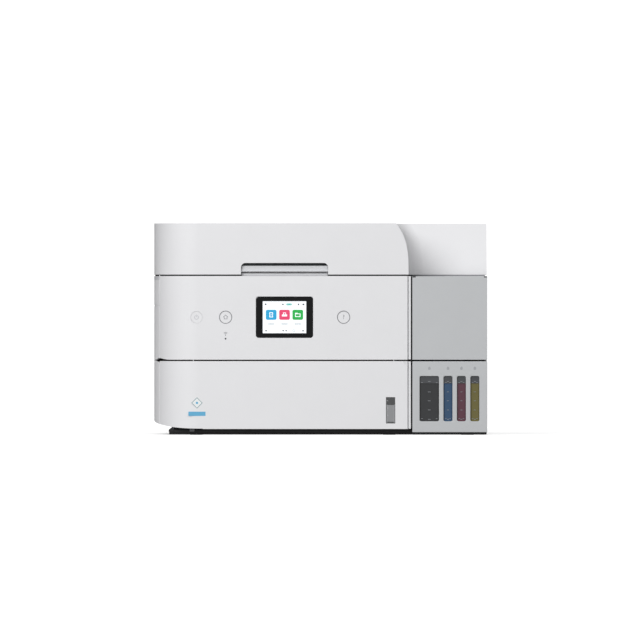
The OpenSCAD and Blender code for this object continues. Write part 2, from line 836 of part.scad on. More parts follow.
// Top frame of the scanner with the seats of both glass panes
module scanner_top() {
    seat = 3;
    color("#d9dadc") difference() {
        translate([0, 0, scan_top_z]) linear_extrude(scan_top_t) scan_plan(0);
        block(glass_x0, glass_x1, glass_y0, glass_y1, panel_top_z - glass_drop - glass_t, panel_top_z + 1);
        block(glass_x0 + seat, glass_x1 - seat, glass_y0 + seat, glass_y1 - seat,
              scan_top_z - 1, panel_top_z + 1);
        block(strip_x0, strip_x0 + strip_w, glass_y0, glass_y1,
              panel_top_z - glass_drop - glass_t, panel_top_z + 1);
        block(strip_x0 + seat, strip_x0 + strip_w - seat, glass_y0 + seat, glass_y1 - seat,
              scan_top_z - 1, panel_top_z + 1);
    }
}

// Document glass and the narrow pane for the sheet feeder
module scanner_glass() {
    z1 = panel_top_z - glass_drop;
    color("#9fb4b8") {
        block(glass_x0, glass_x1, glass_y0, glass_y1, z1 - glass_t, z1);
        block(strip_x0, strip_x0 + strip_w, glass_y0, glass_y1, z1 - glass_t, z1);
    }
}

// Guide rod of the scanning bar
rod_r = 3;
rod_y = (glass_y0 + glass_y1) / 2;
rod_z = scanner_z + 7;
module scan_rod() {
    color(steel) bar_x(left_x + wall, right_x - wall, rod_y, rod_z, rod_r);
}

// Scanning bar under the glass with its bearing on the rod
bar_x0 = left_x + 6;
bar_w = 30;
module scan_bar() {
    window_w = 8;
    color(black_part) difference() {
        union() {
            block(bar_x0, bar_x0 + bar_w, glass_y0 + 3, glass_y1 - 3, rod_z + rod_r + 2, scan_top_z - 0.6);
            block(bar_x0, bar_x0 + bar_w, rod_y - 8, rod_y + 8, scanner_z + scan_floor_t + 0.5,
                  rod_z + rod_r + 2 + eps);
        }
        block(bar_x0 + 9, bar_x0 + 9 + window_w, glass_y0 + 6, glass_y1 - 6, scan_top_z - 3, scan_top_z);
        bar_x(bar_x0 - 1, bar_x0 + bar_w + 1, rod_y, rod_z, rod_r + pin_gap);
    }
}

// Hinge of the lid on the scanner unit
lid_hinge_x = [left_x + 70, right_x - 70];
lid_hinge_y = back_y - 4.3;
lid_hinge_z = lid_z + 6.5;
lid_post_w = 8;
lid_post_r = 2.4;
lid_pin_r = 1.6;
lid_pin_l = 12;

// Two posts with pins that carry the lid
module lid_posts() {
    color(dark_part) for (x = lid_hinge_x) {
        block(x - lid_post_w / 2, x + lid_post_w / 2, lid_hinge_y - lid_post_r, scan_back_y,
              panel_top_z, lid_hinge_z);
        block(x - lid_post_w / 2, x + lid_post_w / 2, lid_hinge_y - lid_post_r,
              lid_hinge_y + lid_post_r, panel_top_z + 0.8, lid_hinge_z);
        bar_x(x - lid_post_w / 2, x + lid_post_w / 2, lid_hinge_y, lid_hinge_z, lid_post_r);
        bar_x(x - lid_pin_l, x + lid_pin_l, lid_hinge_y, lid_hinge_z, lid_pin_r);
    }
}

// ---- Lid with the sheet feeder ----

lid_h = body_h - lid_z;
scoop_x0 = right_x - scoop_w;
scoop_y0 = front_y + scoop_d;
scoop_curve = 3.3;
scoop_lean_curve = 1.6;
scoop_levels = 14;
scoop_corner_steps = 10;

// Feeder well and cover planes
tub_wall = 2.5;
tub_x0 = left_x + 3;
tub_x1 = right_x - 33.5;
tub_y0 = front_y + 116.5;
tub_y1 = back_y - 5.5;
split_x = left_x + 101.5;
flap_t = 4;
flap_gap = 0.8;
flap_pivot_z = body_h - 2.2;
flap_edge = 2.6;
flap_pin_r = 1.2;
cover_x0 = tub_x0 + tub_wall + 1.2;
cover_pivot_x = cover_x0 + flap_edge;
tray_x0 = split_x + flap_gap + 0.4;
tray_pivot_x = tray_x0 + flap_edge;
tray_x1 = tub_x1 - tub_wall - slide_gap;
flap_y0 = tub_y0 + tub_wall + slide_gap;
flap_y1 = tub_y1 - tub_wall - slide_gap;
well_z = lid_z + 0.555 * lid_h;

// Position of the cut's side wall and of its set-back face at share t of the lid's height
function scoop_x(t, grow) = scoop_x0 - scoop_flare * pow(t, scoop_curve) - grow;
function scoop_y(t, grow) = scoop_y0 + scoop_lean * pow(t, scoop_lean_curve) + grow;

// One level of the cut: front, side wall, hollow corner, set-back face, open right side
function scoop_ring(t, z, grow) =
    let (x = scoop_x(t, grow), y = scoop_y(t, grow), r = scoop_r)
    concat(
        [[x, front_y - 2, z]],
        [for (i = [0 : scoop_corner_steps])
            let (a = 90 * i / scoop_corner_steps)
            [x + r - r * cos(a), y - r + r * sin(a), z]],
        [[right_x + 2, y, z], [right_x + 2, front_y - 2, z]]
    );

// What the hollow at the front right takes out of the lid; grow moves its walls into the lid
module scoop(grow) {
    n = scoop_corner_steps + 4;
    below = 2;
    rings = concat(
        scoop_ring(0, lid_z - below, grow),
        [for (k = [0 : scoop_levels])
            each scoop_ring(k / scoop_levels, lid_z + lid_h * k / scoop_levels, grow)],
        scoop_ring(1, body_h + below, grow)
    );
    last = scoop_levels + 2;
    polyhedron(
        points = rings,
        faces = concat(
            [[for (i = [n - 1 : -1 : 0]) i]],
            [for (k = [0 : last - 1], i = [0 : n - 1])
                [k * n + i, (k + 1) * n + (i + 1) % n, (k + 1) * n + i]],
            [for (k = [0 : last - 1], i = [0 : n - 1])
                [k * n + i, k * n + (i + 1) % n, (k + 1) * n + (i + 1) % n]],
            [[for (i = [0 : n - 1]) last * n + i]]
        )
    );
}

// Finger recess in the front edge of the lid; grow makes the lining round it
grip_x0 = path_x - 58.5;
grip_r = 5;
module grip(grow, depth) {
    x0 = grip_x0 - grow;
    x1 = grip_x0 + grip_w + grow;
    z1 = lid_z + grip_h + grow;
    translate([0, front_y + depth, 0]) rotate([90, 0, 0]) linear_extrude(depth + 1) union() {
        translate([x0, lid_z - 1]) square([x1 - x0, z1 - lid_z + 1 - grip_r]);
        translate([x0 + grip_r, lid_z - 1]) square([x1 - x0 - 2 * grip_r, z1 - lid_z + 1]);
        for (x = [x0 + grip_r, x1 - grip_r])
            translate([x, z1 - grip_r]) circle(r = grip_r);
    }
}

// Outer shell of the lid
module lid_shell() {
    notch_x = lid_post_w / 2 + 0.6;
    color(white_shell) difference() {
        translate([0, 0, lid_z]) linear_extrude(lid_h) plan(0);
        scoop(0);
        difference() {
            translate([0, 0, lid_z - 1]) linear_extrude(lid_h + 1 - wall) plan(wall);
            scoop(wall);
            grip(2, grip_d + 2);
        }
        grip(0, grip_d);
        block(tub_x0, tub_x1, tub_y0, tub_y1, body_h - wall - 1, body_h + 1);
        for (x = lid_hinge_x)
            block(x - notch_x, x + notch_x, back_y - wall - 1, back_y + 1, lid_z - 1, lid_hinge_z + 5);
    }
}

// Flat underside of the lid with the hinge bosses
module lid_base() {
    base_z0 = lid_z + 0.7;
    base_z1 = base_z0 + 3;
    boss_l = 8;
    notch_x = lid_post_w / 2 + 0.6;
    base_x1 = scoop_x0 - wall - slide_gap;
    color("#dcdde0") difference() {
        union() {
            translate([0, 0, base_z0]) linear_extrude(base_z1 - base_z0) intersection() {
                plan(wall + slide_gap);
                union() {
                    translate([left_x, front_y + grip_d + 2]) square([base_x1 - left_x, body_d]);
                    translate([left_x, scoop_y0 + wall + 2 * slide_gap]) square([body_w, body_d]);
                }
            }
            for (x = lid_hinge_x)
                block(x - notch_x - boss_l, x + notch_x + boss_l, back_y - 12, back_y - wall,
                      base_z0, lid_hinge_z + 3);
        }
        for (x = lid_hinge_x) {
            block(x - notch_x, x + notch_x, back_y - 13, back_y, base_z0 - 1, lid_hinge_z + 4);
            bar_x(x - notch_x - boss_l - 1, x + notch_x + boss_l + 1, lid_hinge_y, lid_hinge_z,
                  lid_pin_r + pin_gap);
        }
    }
}

// White foam pad that presses the sheet onto the glass
module document_mat() {
    color("#f4f4f2") block(glass_x0 + 1, glass_x1 - 1, glass_y0 + 1, glass_y1 - 1,
                           panel_top_z + slide_gap, lid_z + 0.7);
}

// Inner tub of the lid: roller space at the left, catch tray for the sheets at the right
roller_x = tub_x0 + 66;
roller_z = lid_z + 0.66 * lid_h;
roller_r = 4.5 + 0.078 * lid_h;
module feeder_tub() {
    floor_t = 2;
    tub_z0 = lid_z + 12;
    wall_x0 = split_x - 3;
    color("#e2e3e5") difference() {
        block(tub_x0, tub_x1, tub_y0, tub_y1, tub_z0, body_h);
        block(tub_x0 + tub_wall, wall_x0, tub_y0 + tub_wall, tub_y1 - tub_wall,
              tub_z0 + floor_t, body_h + 1);
        block(wall_x0 + 3, tub_x1 - tub_wall, tub_y0 + tub_wall, tub_y1 - tub_wall,
              well_z, body_h + 1);
        block(wall_x0 - 1, wall_x0 + 4, tub_y0 + 8, tub_y1 - 8, well_z, body_h + 1);
        block(wall_x0 - 1, wall_x0 + 4, tub_y0 + tub_wall, tub_y1 - tub_wall,
              body_h - flap_t - slide_gap, body_h + 1);
        block(wall_x0 + 3, tub_x1 - tub_wall, tub_y0 + tub_wall, tub_y1 - tub_wall,
              tub_z0 - 1, well_z - floor_t);
        bar_y(tub_y0 + 0.5, tub_y1 - 0.5, roller_x, roller_z, journal_r + pin_gap);
        bar_y(tub_y0 + 0.5, tub_y1 - 0.5, cover_pivot_x, flap_pivot_z, flap_pin_r + pin_gap);
        bar_y(tub_y0 + 0.5, tub_y1 - 0.5, tray_pivot_x, flap_pivot_z, flap_pin_r + pin_gap);
    }
}

// Pick-up roller of the sheet feeder
module feeder_roller() {
    mid_y = (tub_y0 + tub_y1) / 2;
    color("#5b5f65") union() {
        bar_y(tub_y0 + tub_wall + slide_gap, tub_y1 - tub_wall - slide_gap, roller_x, roller_z, 4);
        bar_y(tub_y0 + 1, tub_y1 - 1, roller_x, roller_z, journal_r);
        for (y = [mid_y - 52, mid_y - 12, mid_y + 28])
            bar_y(y, y + 24, roller_x, roller_z, roller_r);
    }
}

// Two hinge pins at the ends of a flap of the feeder
module flap_pins(x) {
    bar_y(tub_y0 + 1, flap_y0 + 2, x, flap_pivot_z, flap_pin_r);
    bar_y(flap_y1 - 2, tub_y1 - 1, x, flap_pivot_z, flap_pin_r);
}

// Cover over the rollers, hinged at its left edge
module feeder_cover() {
    color(white_shell) union() {
        block(cover_x0, split_x, flap_y0, flap_y1, body_h - flap_t, body_h);
        flap_pins(cover_pivot_x);
    }
}

// Input tray that closes the well, hinged at its left edge
track_x0 = split_x + 26;
track_w = 40;
track_d = 2.6;
module input_tray() {
    color(white_shell) difference() {
        union() {
            block(tray_x0, tray_x1, flap_y0, flap_y1, body_h - flap_t, body_h);
            flap_pins(tray_pivot_x);
        }
        block(track_x0, track_x0 + track_w, flap_y0 + 1, flap_y1 - 1, body_h - track_d, body_h + 1);
        block(tray_x1 - 1.6, tray_x1 + 1, (flap_y0 + flap_y1) / 2 - 18, (flap_y0 + flap_y1) / 2 + 18,
              body_h - 2.4, body_h + 1);
    }
}

// One low guide for the edge of the sheet, flush in the track of the input tray
module edge_guide(y0) {
    guide_w = 4.5;
    z0 = body_h - track_d + slide_gap;
    color(grey_shell) block(track_x0 + slide_gap, track_x0 + track_w - slide_gap,
                            y0, y0 + guide_w, z0, body_h - 0.1);
}

module edge_guide_front() {
    edge_guide(flap_y0 + 1 + slide_gap);
}

module edge_guide_rear() {
    edge_guide(flap_y1 - 1 - slide_gap - 4.5);
}

// ---- Control panel ----

bezel_x0 = path_x - 41.9;
bezel_z0 = (drawer_top_z + panel_top_z) / 2 - 21.8;
button_z = bezel_z0 + bezel_h / 2;
button_x = [left_x + 48, left_x + 80.7, bezel_x0 + bezel_w + 34.2];

// Tilting front panel with its hinge bosses, the display opening and the button guides
module control_panel() {
    boss_l = arm_pin_l + 0.6;
    relief_r = hinge_z - panel_z + 0.6;
    guide_d = 6;
    corner_back = corner_r - wrap_d;
    end_x = left_x + corner_r - sqrt(corner_r * corner_r - corner_back * corner_back) + 0.6;
    slant_l = 6;
    slant_d = 4.2;
    color(white_shell) difference() {
        union() {
            intersection() {
                front_wrap(panel_z, panel_top_z);
                union() {
                    bar_x(left_x - 2, front_right_x + 2, hinge_y, hinge_z, relief_r);
                    block(left_x - 2, front_right_x + 2, front_y - 1, hinge_y, panel_z - 1, panel_top_z + 1);
                }
            }
            for (x = arm_x, side = [0, 1]) {
                x0 = side == 0 ? x - slide_gap - boss_l : x + arm_t + slide_gap;
                block(x0, x0 + boss_l, hinge_y - 1, hinge_y + 3.4, hinge_z - 3.2, hinge_z + 2.3);
            }
            for (x = button_x)
                bar_y(front_y + 1, front_y + front_t + guide_d, x, button_z, button_r + 3.4);
        }
        translate([0, 0, panel_z - 1]) linear_extrude(panel_top_z - panel_z + 2) polygon([
            [end_x, wrap_y + 1],
            [end_x, wrap_y],
            [end_x + slant_l, wrap_y - slant_d],
            [end_x + slant_l, wrap_y + 1]
        ]);
        block(bezel_x0, bezel_x0 + bezel_w, front_y - 1, front_y + front_t + 2, bezel_z0, bezel_z0 + bezel_h);
        for (x = button_x) {
            bar_y(front_y - 1, front_y + front_t + 1, x, button_z, button_r + slide_gap / 2);
            bar_y(front_y + front_t, front_y + front_t + guide_d + 1, x, button_z, button_r + 1.8);
        }
        for (x = arm_x) {
            block(x - slide_gap, x + arm_t + slide_gap, hinge_y - 2.3, hinge_y + 4,
                  hinge_z - 4.2, panel_top_z + 1);
            bar_x(x - slide_gap - boss_l - 1, x + arm_t + slide_gap + boss_l + 1, hinge_y, hinge_z,
                  arm_pin_r + pin_gap);
        }
    }
}

// Black frame of the display
module display_bezel() {
    mid_x = bezel_x0 + bezel_w / 2;
    mid_z = bezel_z0 + bezel_h / 2;
    color("#1b1c1f") difference() {
        block(bezel_x0, bezel_x0 + bezel_w, front_y, front_y + 7, bezel_z0, bezel_z0 + bezel_h);
        block(mid_x - screen_w / 2, mid_x + screen_w / 2, front_y - 1, front_y + 2.5,
              mid_z - screen_h / 2, mid_z + screen_h / 2);
    }
}

// Lit screen behind its frame
module display_screen() {
    mid_x = bezel_x0 + bezel_w / 2;
    mid_z = bezel_z0 + bezel_h / 2;
    color("#f2f4f6") block(mid_x - screen_w / 2, mid_x + screen_w / 2, front_y + 0.5, front_y + 2.5,
                           mid_z - screen_h / 2, mid_z + screen_h / 2);
}

// Round push button: face, collar behind the panel, stem
module button(x) {
    collar_y = front_y + front_t + 0.3;
    color("#f0f0f1") union() {
        bar_y(front_y, collar_y + 1.5, x, button_z, button_r);
        bar_y(collar_y, collar_y + 1.5, x, button_z, button_r + 1.4);
        bar_y(collar_y, collar_y + 4.2, x, button_z, 2);
    }
}

module power_button() {
    button(button_x[0]);
}

module home_button() {
    button(button_x[1]);
}

module help_button() {
    button(button_x[2]);
}

// ---- Output tray ----

tray_w = paper_w - 24;
tray_x_left = path_x - tray_w / 2;
tray_x_right = path_x + tray_w / 2;
lip_y0 = front_y + front_t + 58;
lip_t = 2.5;
tray_y0 = lip_y0 + lip_t + slide_gap;
tray_rail_w = 8;
tray_skin = 0.9;

// Flat tray with a slot for its extension
module output_tray() {
    color("#d3d4d7") difference() {
        block(tray_x_left, tray_x_right, tray_y0, tray_y0 + tray_l, tray_z, tray_top_z);
        block(tray_x_left + tray_rail_w, tray_x_right - tray_rail_w, tray_y0 - 1, tray_y0 + tray_l - 4,
              tray_z + tray_skin, tray_top_z - tray_skin - 0.4);
        for (side = [-1, 1])
            block(path_x + side * 62 - 3, path_x + side * 62 + 3, tray_y0 + 14, tray_y0 + tray_l - 14,
                  tray_top_z - 0.5, tray_top_z + 1);
    }
}

// Inner tray that slides out of the output tray; its front lip stops the sheets
module tray_extension() {
    z0 = tray_z + tray_skin + slide_gap;
    z1 = tray_top_z - tray_skin - 0.4 - slide_gap;
    x0 = tray_x_left + tray_rail_w + slide_gap;
    x1 = tray_x_right - tray_rail_w - slide_gap;
    color("#c9cacd") difference() {
        union() {
            block(x0, x1, lip_y0 + 1, lip_y0 + tray_l - 14, z0, z1);
            block(tray_x_left, tray_x_right, lip_y0, lip_y0 + lip_t, tray_z, tray_top_z);
        }
        for (x = [x0 + 12 : 40 : x1 - 30])
            block(x, x + 22, lip_y0 + 20, lip_y0 + tray_l - 40, z0 - 1, z1 + 1);
    }
}

// ---- Paper cassette ----

level_x0 = front_right_x - 27.9;
level_x1 = front_right_x - 17.5;
level_z0 = skirt_z + 6.2;
level_z1 = level_z0 + 29.6;
cassette_wall = 2.5;
cassette_floor_t = 2.5;
cassette_z1 = cassette_z + cassette_h;
guide_t = 3;
guide_l = 120;
guide_h = cassette_h - 8;
guide_z0 = cassette_z + cassette_floor_t + 0.3;

// Wrapped front of the paper cassette with the opening of the level window
module cassette_front() {
    color(white_shell) difference() {
        front_wrap(skirt_z, drawer_top_z);
        under_sweep();
        block(level_x0, level_x1, front_y - 1, front_y + front_t + 1, level_z0, level_z1);
    }
}

// Clear window that shows how full the cassette is
module level_window() {
    color("#5a5c60") block(level_x0, level_x1, front_y + 0.6, front_y + front_t, level_z0, level_z1);
}

// Outline of the cassette from above, moved in by inset, clear of the round corner
module cassette_plan(inset) {
    x0 = cassette_x0 + inset;
    y0 = front_y + front_t + inset;
    intersection() {
        translate([x0, y0]) square([cassette_x1 - inset - x0, cassette_back_y - inset - y0]);
        union() {
            plan(front_t + slide_gap + inset);
            translate([corner_x, y0]) square([cassette_x1 - corner_x, corner_r]);
        }
    }
}

// Open tray for the blank sheets, with a runner on each side
module cassette_tub() {
    y0 = front_y + front_t;
    slot_w = 5;
    color("#4a4c50") difference() {
        union() {
            translate([0, 0, cassette_z]) linear_extrude(cassette_h) cassette_plan(0);
            block(cassette_x0 - runner_w, cassette_x1 + runner_w, y0 + 22, cassette_back_y,
                  runner_z, runner_z + runner_t);
        }
        translate([0, 0, cassette_z + cassette_floor_t]) linear_extrude(cassette_h)
            cassette_plan(cassette_wall);
        for (x = [path_x - 60, path_x + 60 - slot_w])
            block(x, x + slot_w, y0 + 60, cassette_back_y - 60, cassette_z + 1, cassette_z + 4);
    }
}

// Side guide of the cassette: an upright fence on a flat foot
module paper_guide(side) {
    inner = path_x + side * paper_w / 2;
    outer = inner + side * guide_t;
    foot = inner + side * 8.5;
    y0 = -guide_l / 2;
    color("#2f3033") union() {
        block(min(inner, outer), max(inner, outer), y0, y0 + guide_l, guide_z0, guide_z0 + guide_h);
        block(min(inner, foot), max(inner, foot), y0, y0 + guide_l, guide_z0, guide_z0 + 2);
    }
}

module paper_guide_left() {
    paper_guide(-1);
}

module paper_guide_right() {
    paper_guide(1);
}

// Rear guide of the cassette, which slides towards the front for shorter sheets
module paper_guide_rear() {
    half_w = 16;
    fence_y = cassette_back_y - 13.5;
    color("#2f3033") union() {
        block(path_x - half_w, path_x + half_w, fence_y, fence_y + guide_t, guide_z0, guide_z0 + guide_h);
        block(path_x - half_w, path_x + half_w, fence_y, fence_y + 9, guide_z0, guide_z0 + 2);
    }
}

base_pan();
rubber_feet();
left_shell();
right_shell();
rear_shell();
cassette_bay();
engine_frame();
front_frame();
guide_shaft();
platen();
drive_belt();
carriage_motor();
maintenance_station();
power_supply();
port_block();
tank_housing();
ink_bay();
tank_black();
tank_cyan();
tank_magenta();
tank_yellow();
ink_tubes();
cap_black();
cap_cyan();
cap_magenta();
cap_yellow();
ink_cover();
scanner_tub();
scanner_top();
scanner_glass();
scan_rod();
scan_bar();
lid_posts();
lid_shell();
lid_base();
document_mat();
feeder_tub();
feeder_roller();
feeder_cover();
input_tray();
edge_guide_front();
edge_guide_rear();
control_panel();
display_bezel();
display_screen();
power_button();
home_button();
help_button();
output_tray();
tray_extension();
paper_guide_rear();
cassette_front();
cassette_tub();
level_window();
paper_guide_left();
paper_guide_right();
carriage();
feed_roller();
eject_roller();
rear_cover();
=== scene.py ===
"""Looks of a compact inkjet printer with refillable tanks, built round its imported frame.

Lengths in this file are millimetres; m() turns them into Blender's metres."""

import json
import math

import bmesh
import bpy
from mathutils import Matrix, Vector


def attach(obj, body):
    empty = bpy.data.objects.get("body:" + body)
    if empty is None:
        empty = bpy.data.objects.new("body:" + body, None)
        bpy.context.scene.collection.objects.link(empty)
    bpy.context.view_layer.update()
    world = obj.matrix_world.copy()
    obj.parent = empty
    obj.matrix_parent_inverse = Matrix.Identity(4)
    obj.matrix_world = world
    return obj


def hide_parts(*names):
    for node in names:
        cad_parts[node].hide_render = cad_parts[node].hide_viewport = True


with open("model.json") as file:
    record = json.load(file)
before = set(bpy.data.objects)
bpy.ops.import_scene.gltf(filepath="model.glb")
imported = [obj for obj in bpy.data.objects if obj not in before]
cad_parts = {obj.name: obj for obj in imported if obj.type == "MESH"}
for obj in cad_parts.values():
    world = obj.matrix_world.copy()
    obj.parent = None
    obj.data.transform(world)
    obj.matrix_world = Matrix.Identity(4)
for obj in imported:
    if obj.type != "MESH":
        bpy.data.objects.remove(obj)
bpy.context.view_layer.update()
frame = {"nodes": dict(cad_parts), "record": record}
nodes = frame["nodes"]
slot_of = {row["node"]: row["material_slot"] for row in frame["record"]["subparts"]}
body_of = {n: b for b, held in frame["record"]["behaviour"]["bodies"].items() for n in held}

# Planes of the casing, as in the solids
LEFT, RIGHT, FRONT, BACK = -187.5, 187.5, -173.5, 173.5
# Large left front corner, and where the panel stops behind it
CORNER_R = 50.0
CORNER_X, CORNER_Y = LEFT + CORNER_R, FRONT + CORNER_R
WRAP_Y = -148.0
# Heights of the seams: drawer, panel, lid; side covers and scanner unit
SKIRT, DRAWER_TOP, PANEL_Z, PANEL_TOP, LID_Z = 6.7, 83.0, 84.6, 178.7, 180.3
SIDE_TOP, SCANNER_Z = 145.0, 146.0
# Right end of the panel, sides of the ink unit and its four windows
PANEL_END = 101.3
TANK_X0, TANK_X1 = 103.1, 187.3
WINDOWS = [(111.2, 133.0), (138.1, 148.1), (153.2, 163.2), (168.3, 178.3)]
WINDOW_Z0, WINDOW_Z1 = 15.3, 66.3

# Light of the studio: where the glow comes from and its strength on the far and the near side, the white
# behind all, the light of the table itself, and the watts of the softboxes
GLOW_FROM = (-0.12, -0.78, 0.61)
GLOW_FAR, GLOW_NEAR = 0.03, 0.95
BACKDROP_WHITE = 1.15
TABLE_GLOW = 0.50
KEY_WATTS, BACK_WATTS = 38.0, 16.0
# Front and back end of the table, in metres; in front it ends where the key light's reach does
TABLE_NEAR, TABLE_FAR = -2.9, 1.2
# Camera: focal length, width of the sensor, width of the front plane in the picture, place of the eye
LENS, SENSOR, FIELD = 900.0, 36.0, 719.23
EYE_X, EYE_Z = -0.73, 129.2


# ---- Working by hand: selection, shaping, finishing ----


def m(*lengths):
    """Millimetres as metres."""
    return tuple(v / 1000 for v in lengths)


def only(obj):
    """Selects nothing but obj."""
    bpy.ops.object.select_all(action="DESELECT")
    obj.select_set(True)
    bpy.context.view_layer.objects.active = obj
    return obj


def settle(obj, name):
    """Names obj and puts its place, turn and scale into its mesh."""
    obj.name = obj.data.name = name
    bpy.ops.object.transform_apply(location=True, rotation=True, scale=True)
    return obj


def block(name, x0, x1, y0, y1, z0, z1):
    """A block between six planes."""
    bpy.ops.object.select_all(action="DESELECT")
    middle = m((x0 + x1) / 2, (y0 + y1) / 2, (z0 + z1) / 2)
    bpy.ops.mesh.primitive_cube_add(size=1, location=middle, scale=m(x1 - x0, y1 - y0, z1 - z0))
    return settle(bpy.context.object, name)


# Turn that lays an upright bar along each axis
TURNS = {"x": (0, math.pi / 2, 0), "y": (math.pi / 2, 0, 0), "z": (0, 0, 0)}


def bar(name, axis, start, end, centre, radius, sides=48):
    """A round bar along an axis; centre holds the two other coordinates."""
    middle = list(centre)
    middle.insert("xyz".index(axis), (start + end) / 2)
    bpy.ops.object.select_all(action="DESELECT")
    bpy.ops.mesh.primitive_cylinder_add(vertices=sides, radius=radius / 1000, depth=(end - start) / 1000,
                                        location=m(*middle), rotation=TURNS[axis])
    return settle(bpy.context.object, name)


def shape(obj, kind, test, *steps):
    """Selects the faces or edges that pass the test and runs the steps on them."""
    only(obj)
    bpy.ops.object.mode_set(mode="EDIT")
    bpy.ops.mesh.select_mode(type=kind)
    bpy.ops.mesh.select_all(action="DESELECT")
    mesh = bmesh.from_edit_mesh(obj.data)
    for part in mesh.faces if kind == "FACE" else mesh.edges:
        if test(part):
            part.select_set(True)
    mesh.select_flush_mode()
    bmesh.update_edit_mesh(obj.data)
    for step, settings in steps:
        step(**settings)
    bpy.ops.object.mode_set(mode="OBJECT")
    return obj


def lies(part, axis):
    """Whether an edge runs along an axis."""
    a, b = (v.co for v in part.verts)
    return abs((b - a).normalized()["xyz".index(axis)]) > 0.99


def mid(part):
    """Middle of an edge or face, in millimetres."""
    return sum((v.co for v in part.verts), Vector()) / len(part.verts) * 1000


def rounded(obj, radius, test, segments):
    """Rounds the edges that pass the test."""
    step = dict(offset=radius / 1000, segments=segments, affect="EDGES", clamp_overlap=True)
    return shape(obj, "EDGE", test, (bpy.ops.mesh.bevel, step))


def sunk(obj, test, inset, depth):
    """Insets the faces that pass the test and presses them in."""
    step = dict(thickness=inset / 1000, depth=-depth / 1000)
    return shape(obj, "FACE", test, (bpy.ops.mesh.inset, step))


def modified(obj, kind, **settings):
    """Adds a modifier and applies it."""
    only(obj)
    modifier = obj.modifiers.new(kind.lower(), kind)
    for key, value in settings.items():
        setattr(modifier, key, value)
    bpy.ops.object.modifier_apply(modifier=modifier.name)
    return obj


def cut(obj, *tools, operation="DIFFERENCE"):
    """Takes the tools' shapes out of obj, or adds them to it."""
    for tool in tools:
        modified(obj, "BOOLEAN", operation=operation, solver="EXACT", object=tool)
        bpy.data.objects.remove(tool)
    return obj


def ring(name, axis, start, end, centre, radius, hole):
    """A round bar with a round hole."""
    outer = bar(name, axis, start, end, centre, radius)
    return cut(outer, bar("hole", axis, start - 1, end + 1, centre, hole))


def cornered(name, x0, x1, y0, y1, z0, z1, radius, axis="y"):
    """A plate with its four corners rounded; the axis is the one through its thickness."""
    plate = block(name, x0, x1, y0, y1, z0, z1)
    return rounded(plate, radius, lambda edge: lies(edge, axis), segments=5)


def turned(obj, axis, degrees, centre):
    """Turns a piece about a line through centre."""
    only(obj)
    bpy.ops.object.mode_set(mode="EDIT")
    bpy.ops.mesh.select_all(action="SELECT")
    bpy.ops.transform.rotate(value=math.radians(degrees), orient_axis=axis.upper(),
                             center_override=m(*centre))
    bpy.ops.object.mode_set(mode="OBJECT")
    return obj


def set_back(obj, depth):
    """Moves a front piece back, so that printed marks stay inside the casing's plane."""
    only(obj)
    bpy.ops.transform.translate(value=m(0, depth, 0))
    return settle(obj, obj.name)


def joined(name, *parts):
    """One piece from several."""
    only(parts[0])
    for part in parts:
        part.select_set(True)
    bpy.ops.object.join()
    parts[0].name = parts[0].data.name = name
    return parts[0]


# Degrees from which an edge counts as sharp
SHARP = 35


def smooth(obj):
    """Shades a piece smooth across shallow edges, with the broad faces kept flat by their size."""
    only(obj)
    bpy.ops.object.shade_smooth_by_angle(angle=math.radians(SHARP))
    return modified(obj, "WEIGHTED_NORMAL", keep_sharp=True)


def softened(obj, radius):
    """Rounds every sharp edge and shades the piece smooth between them."""
    modified(obj, "BEVEL", width=radius / 1000, segments=2, limit_method="ANGLE",
             angle_limit=math.radians(SHARP), use_clamp_overlap=True)
    return smooth(obj)


def raw(node):
    """A solid's own shape with its corners joined."""
    obj = bpy.data.objects.new(node + "_moulded", nodes[node].data.copy())
    bpy.context.scene.collection.objects.link(obj)
    only(obj)
    bpy.ops.mesh.customdata_custom_splitnormals_clear()
    bpy.ops.object.mode_set(mode="EDIT")
    bpy.ops.mesh.select_all(action="SELECT")
    bpy.ops.mesh.remove_doubles(threshold=1e-6)
    bpy.ops.object.mode_set(mode="OBJECT")
    return obj


def moulded(node, radius):
    """A solid's own shape with its edges rounded."""
    return softened(raw(node), radius)


def fitted(obj, body, slot, finish, *stands_for):
    """Gives a piece its finish, the body it moves with and the solids it stands for; slot is not used."""
    obj.data.materials.clear()
    obj.data.materials.append(finish)
    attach(obj, body)
    if stands_for:
        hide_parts(*stands_for)
    return obj


# ---- Finishes ----


def levels(hex_colour):
    """The three levels of an sRGB hex colour, 0 to 255."""
    return [int(hex_colour[i:i + 2], 16) for i in (1, 3, 5)]


def hex_of(parts):
    """Three levels, 0 to 255, as an sRGB hex colour."""
    return "#" + "".join(f"{int(v):02x}" for v in parts)


def linear(hex_colour):
    """An sRGB hex colour as the linear colour that shaders take."""
    parts = [v / 255 for v in levels(hex_colour)]
    return tuple(c / 12.92 if c <= 0.04045 else ((c + 0.055) / 1.055) ** 2.4 for c in parts) + (1.0,)


def add(tree, kind, links=(), **settings):
    """Adds a node; settings are its sockets or properties, links are (output, input name) pairs."""
    node = tree.nodes.new(kind)
    for key, value in settings.items():
        if key in node.inputs:
            node.inputs[key].default_value = value
        else:
            setattr(node, key, value)
    for output, name in links:
        tree.links.new(output, node.inputs[name])
    return node


